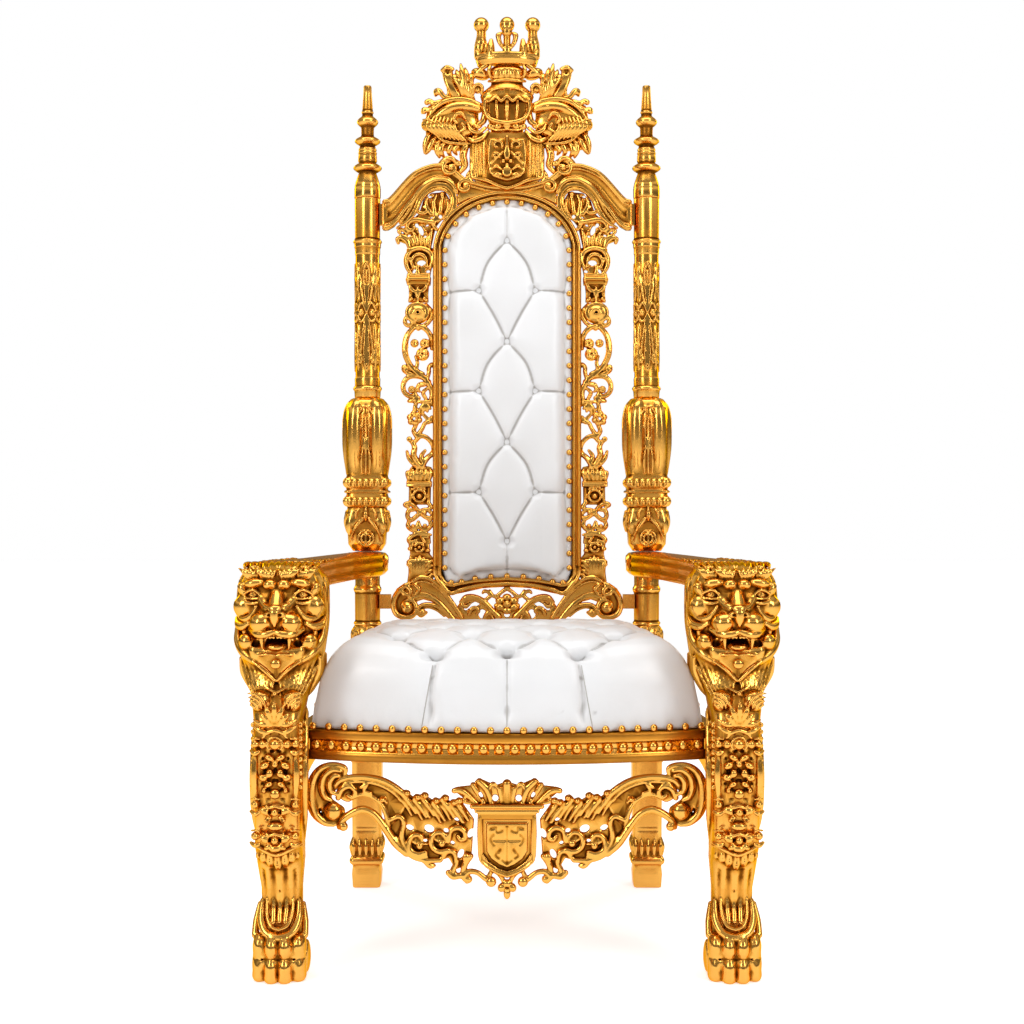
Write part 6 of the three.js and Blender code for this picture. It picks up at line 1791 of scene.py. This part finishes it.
back = swollen_pad("back_pad", pad_clay.solid(), BACK_SWELL, back_freedom)
place, facing = corners_of(back.data) * 1000, corners_of(back.data, "normal")
back_buttons = [(0, 1352), (-59, 1247.5), (59, 1247.5), (0, 1141), (-59, 1038), (59, 1038), (0, 931.5),
        (-59, 827), (59, 827), (0, 724)]
back_pleats = [((0, 1352), (0, 1440), 0.0), ((0, 724), (0, 640), 0.0)]
for upper, lower in ((0, 1), (0, 2), (1, 3), (2, 3), (3, 4), (3, 5), (4, 6), (5, 6), (6, 7), (6, 8),
        (7, 9), (8, 9)):
    side = 1 if back_buttons[upper][0] + back_buttons[lower][0] > 0 else -1
    bend = 0.10 * side if back_buttons[upper][0] == 0 else -0.02 * side
    back_pleats.append((back_buttons[upper], back_buttons[lower], -bend))
for x, z in back_buttons:
    if x:
        back_pleats.append(((x, z), (math.copysign(126, x), z - 2), 0.0))
depth = tuft(place[:, 0], place[:, 2], [(x, z, 13) for x, z in back_buttons], back_pleats, 15.0, 6.0, 3.2)
swell = 5.0 * np.clip((122 - np.abs(place[:, 0])) / 50, 0, 1) ** 0.7
fore = np.clip((336 - place[:, 1]) / 6, 0, 1)
place[:, 1] += (depth - swell) * fore
back.data.vertices.foreach_set("co", (place / 1000).astype(np.float32).ravel())
dress_pad(back, BACK_TRIANGLES, ["back_cushion"])

# ---- seams ----------------------------------------------------------------------------------------
# Grey thread lines where the leather is sewn: down the pleats of the back and the front of the seat.
# Each is drawn on the finished pad as a fine round cord.
SEAM = 0.0009
THREAD_DARK = (0.32, 0.3, 0.28, 1)
THREAD_LIGHT = (0.5, 0.47, 0.44, 1)


def stitch(pad, name, paths, sight):
    """Fine dark seams laid on a pad: each path is seen along sight until it meets the leather."""
    tree = BVHTree.FromObject(pad, bpy.context.evaluated_depsgraph_get())
    forms = []
    for path in paths:
        line = []
        for place in path:
            hit, facing, _, _ = tree.ray_cast(Vector([c / 1000 for c in place]), Vector(sight))
            if hit is not None:
                line.append((hit, facing))
        rings, count = [], 5
        for k, (hit, facing) in enumerate(line):
            ahead = (line[min(k + 1, len(line) - 1)][0] - line[max(k - 1, 0)][0]).normalized()
            side = ahead.cross(facing)
            for a in np.linspace(0, 2 * math.pi, count, endpoint=False):
                rings.append(hit + SEAM * (math.cos(a) * side + math.sin(a) * facing))
        faces = []
        for k in range(len(line) - 1):
            for a in range(count):
                b = (a + 1) % count
                faces.append((k * count + a, k * count + b, (k + 1) * count + b, (k + 1) * count + a))
        if faces:
            faces += [tuple(range(count))[::-1], tuple(range(len(rings) - count, len(rings)))]
            forms.append((np.array([tuple(c) for c in rings]), faces))
    make_piece(name, forms, thread, [])


thread = bpy.data.materials.new("seam_thread")
thread.use_nodes = True
thread_tree = thread.node_tree
thread_body = thread_tree.nodes["Principled BSDF"]
thread_body.inputs["Roughness"].default_value = 0.6
twist = shader_node(thread_tree, "ShaderNodeTexWave", {"Scale": 300.0, "Distortion": 1.0})
twist_tone = shader_node(thread_tree, "ShaderNodeValToRGB")
twist_tone.color_ramp.elements[0].color = THREAD_DARK
twist_tone.color_ramp.elements[1].color = THREAD_LIGHT
thread_tree.links.new(shader_node(thread_tree, "ShaderNodeTexCoord").outputs["Object"],
        twist.inputs["Vector"])
thread_tree.links.new(twist.outputs["Fac"], twist_tone.inputs["Fac"])
thread_tree.links.new(twist_tone.outputs["Color"], thread_body.inputs["Base Color"])

back_lines = []
for (ax, az), (bx, bz), bend in back_pleats:
    middle = ((ax + bx) / 2 + bend * (bz - az), (az + bz) / 2 - bend * (bx - ax))
    path = curve_through([(ax, az), middle, (bx, bz)], 12)
    back_lines.append([(x, 250, z) for x, z in path[1:-1]])
stitch(back, "back_seams", back_lines, (0, 1, 0))
seat_lines = [[(x * (1.0 + 0.16 * k / 12), -430, 536 - 116 * k / 12) for k in range(13)]
        for x in (-125, 0, 125)]
stitch(seat, "seat_seams", seat_lines, (0, 1, 0))

# ---- buttons and nails ----------------------------------------------------------------------------
# Leather-covered buttons hold the tufts of the back. Domed gilt nails fasten the edges of both covers.
set_studs("back_buttons", [((x, 328.5, z), (0, -1, 0)) for x, z in back_buttons], 11.5, 5.5, leather)
NAIL_STEP = 30
NAIL_FACE = 334.5
arch_line = np.array(arch(-15.5, 668) + [(0, 1434.5)])
run = np.concatenate([[0], np.cumsum(np.hypot(*np.diff(arch_line, axis=0).T))])
count = int(round(run[-1] / NAIL_STEP))
back_nails = [((0, NAIL_FACE, 1434.5), (0, -1, 0))]
for k in range(count):
    at = run[-1] * k / count
    x, z = np.interp(at, run, arch_line[:, 0]), np.interp(at, run, arch_line[:, 1])
    back_nails += [((side * x, NAIL_FACE, z), (0, -1, 0)) for side in (-1, 1)]
for x, z in ((117, 637), (95, 639), (67, 646), (34, 650), (0, 651)):
    back_nails += [((side * x, NAIL_FACE, z), (0, -1, 0)) for side in ((-1, 1) if x else (1,))]
set_studs("back_nails", back_nails, 6.2, 4.8, gold)
seat_tree = BVHTree.FromObject(seat, bpy.context.evaluated_depsgraph_get())
for side in (-1, 1):
    hit, facing, _, _ = seat_tree.ray_cast(Vector((side * 0.45, -0.238, 0.452)), Vector((-side, 0, 0)))
    if hit is not None:
        front_nails.append((tuple(hit * 1000), tuple(facing)))
set_studs("seat_nails", front_nails + side_nails, 6.4, 4.8, gold)

# ---- plain timber ---------------------------------------------------------------------------------
# The seat board, out of sight, keeps its sawn faces. The tenons and the side and back rails are
# gilded plain, and the panel behind the back is covered in the same leather.


WOOD_DARK = (0.22, 0.12, 0.06, 1)
WOOD_LIGHT = (0.42, 0.27, 0.15, 1)


def sawn_wood():
    paint = bpy.data.materials.new("sawn_hardwood")
    paint.use_nodes = True
    tree = paint.node_tree
    body = tree.nodes["Principled BSDF"]
    place = shader_node(tree, "ShaderNodeTexCoord")
    stretch = shader_node(tree, "ShaderNodeMapping")
    stretch.inputs["Scale"].default_value = (1.0, 9.0, 9.0)
    rings = shader_node(tree, "ShaderNodeTexNoise", {"Scale": 14.0, "Detail": 6.0, "Distortion": 0.6})
    tone = shader_node(tree, "ShaderNodeValToRGB")
    dark, light = tone.color_ramp.elements
    dark.position, dark.color = 0.35, WOOD_DARK
    light.position, light.color = 0.7, WOOD_LIGHT
    relief = shader_node(tree, "ShaderNodeBump", {"Strength": 0.25, "Distance": 0.001})
    body.inputs["Roughness"].default_value = 0.65
    link = tree.links.new
    link(place.outputs["Object"], stretch.inputs["Vector"])
    link(stretch.outputs["Vector"], rings.inputs["Vector"])
    link(rings.outputs["Fac"], tone.inputs["Fac"])
    link(tone.outputs["Color"], body.inputs["Base Color"])
    link(rings.outputs["Fac"], relief.inputs["Height"])
    link(relief.outputs["Normal"], body.inputs["Normal"])
    return paint


timber = sawn_wood()
finishes = {"seat_deck": timber, "seat_rail_back": gold, "back_board": leather}
for side in ("left", "right"):
    finishes["seat_rail_" + side] = finishes["crest_tenon_" + side] = finishes["bracket_tenon_"
            + side] = gold
for name, finish in finishes.items():
    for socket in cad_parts[name].material_slots:
        socket.material = finish
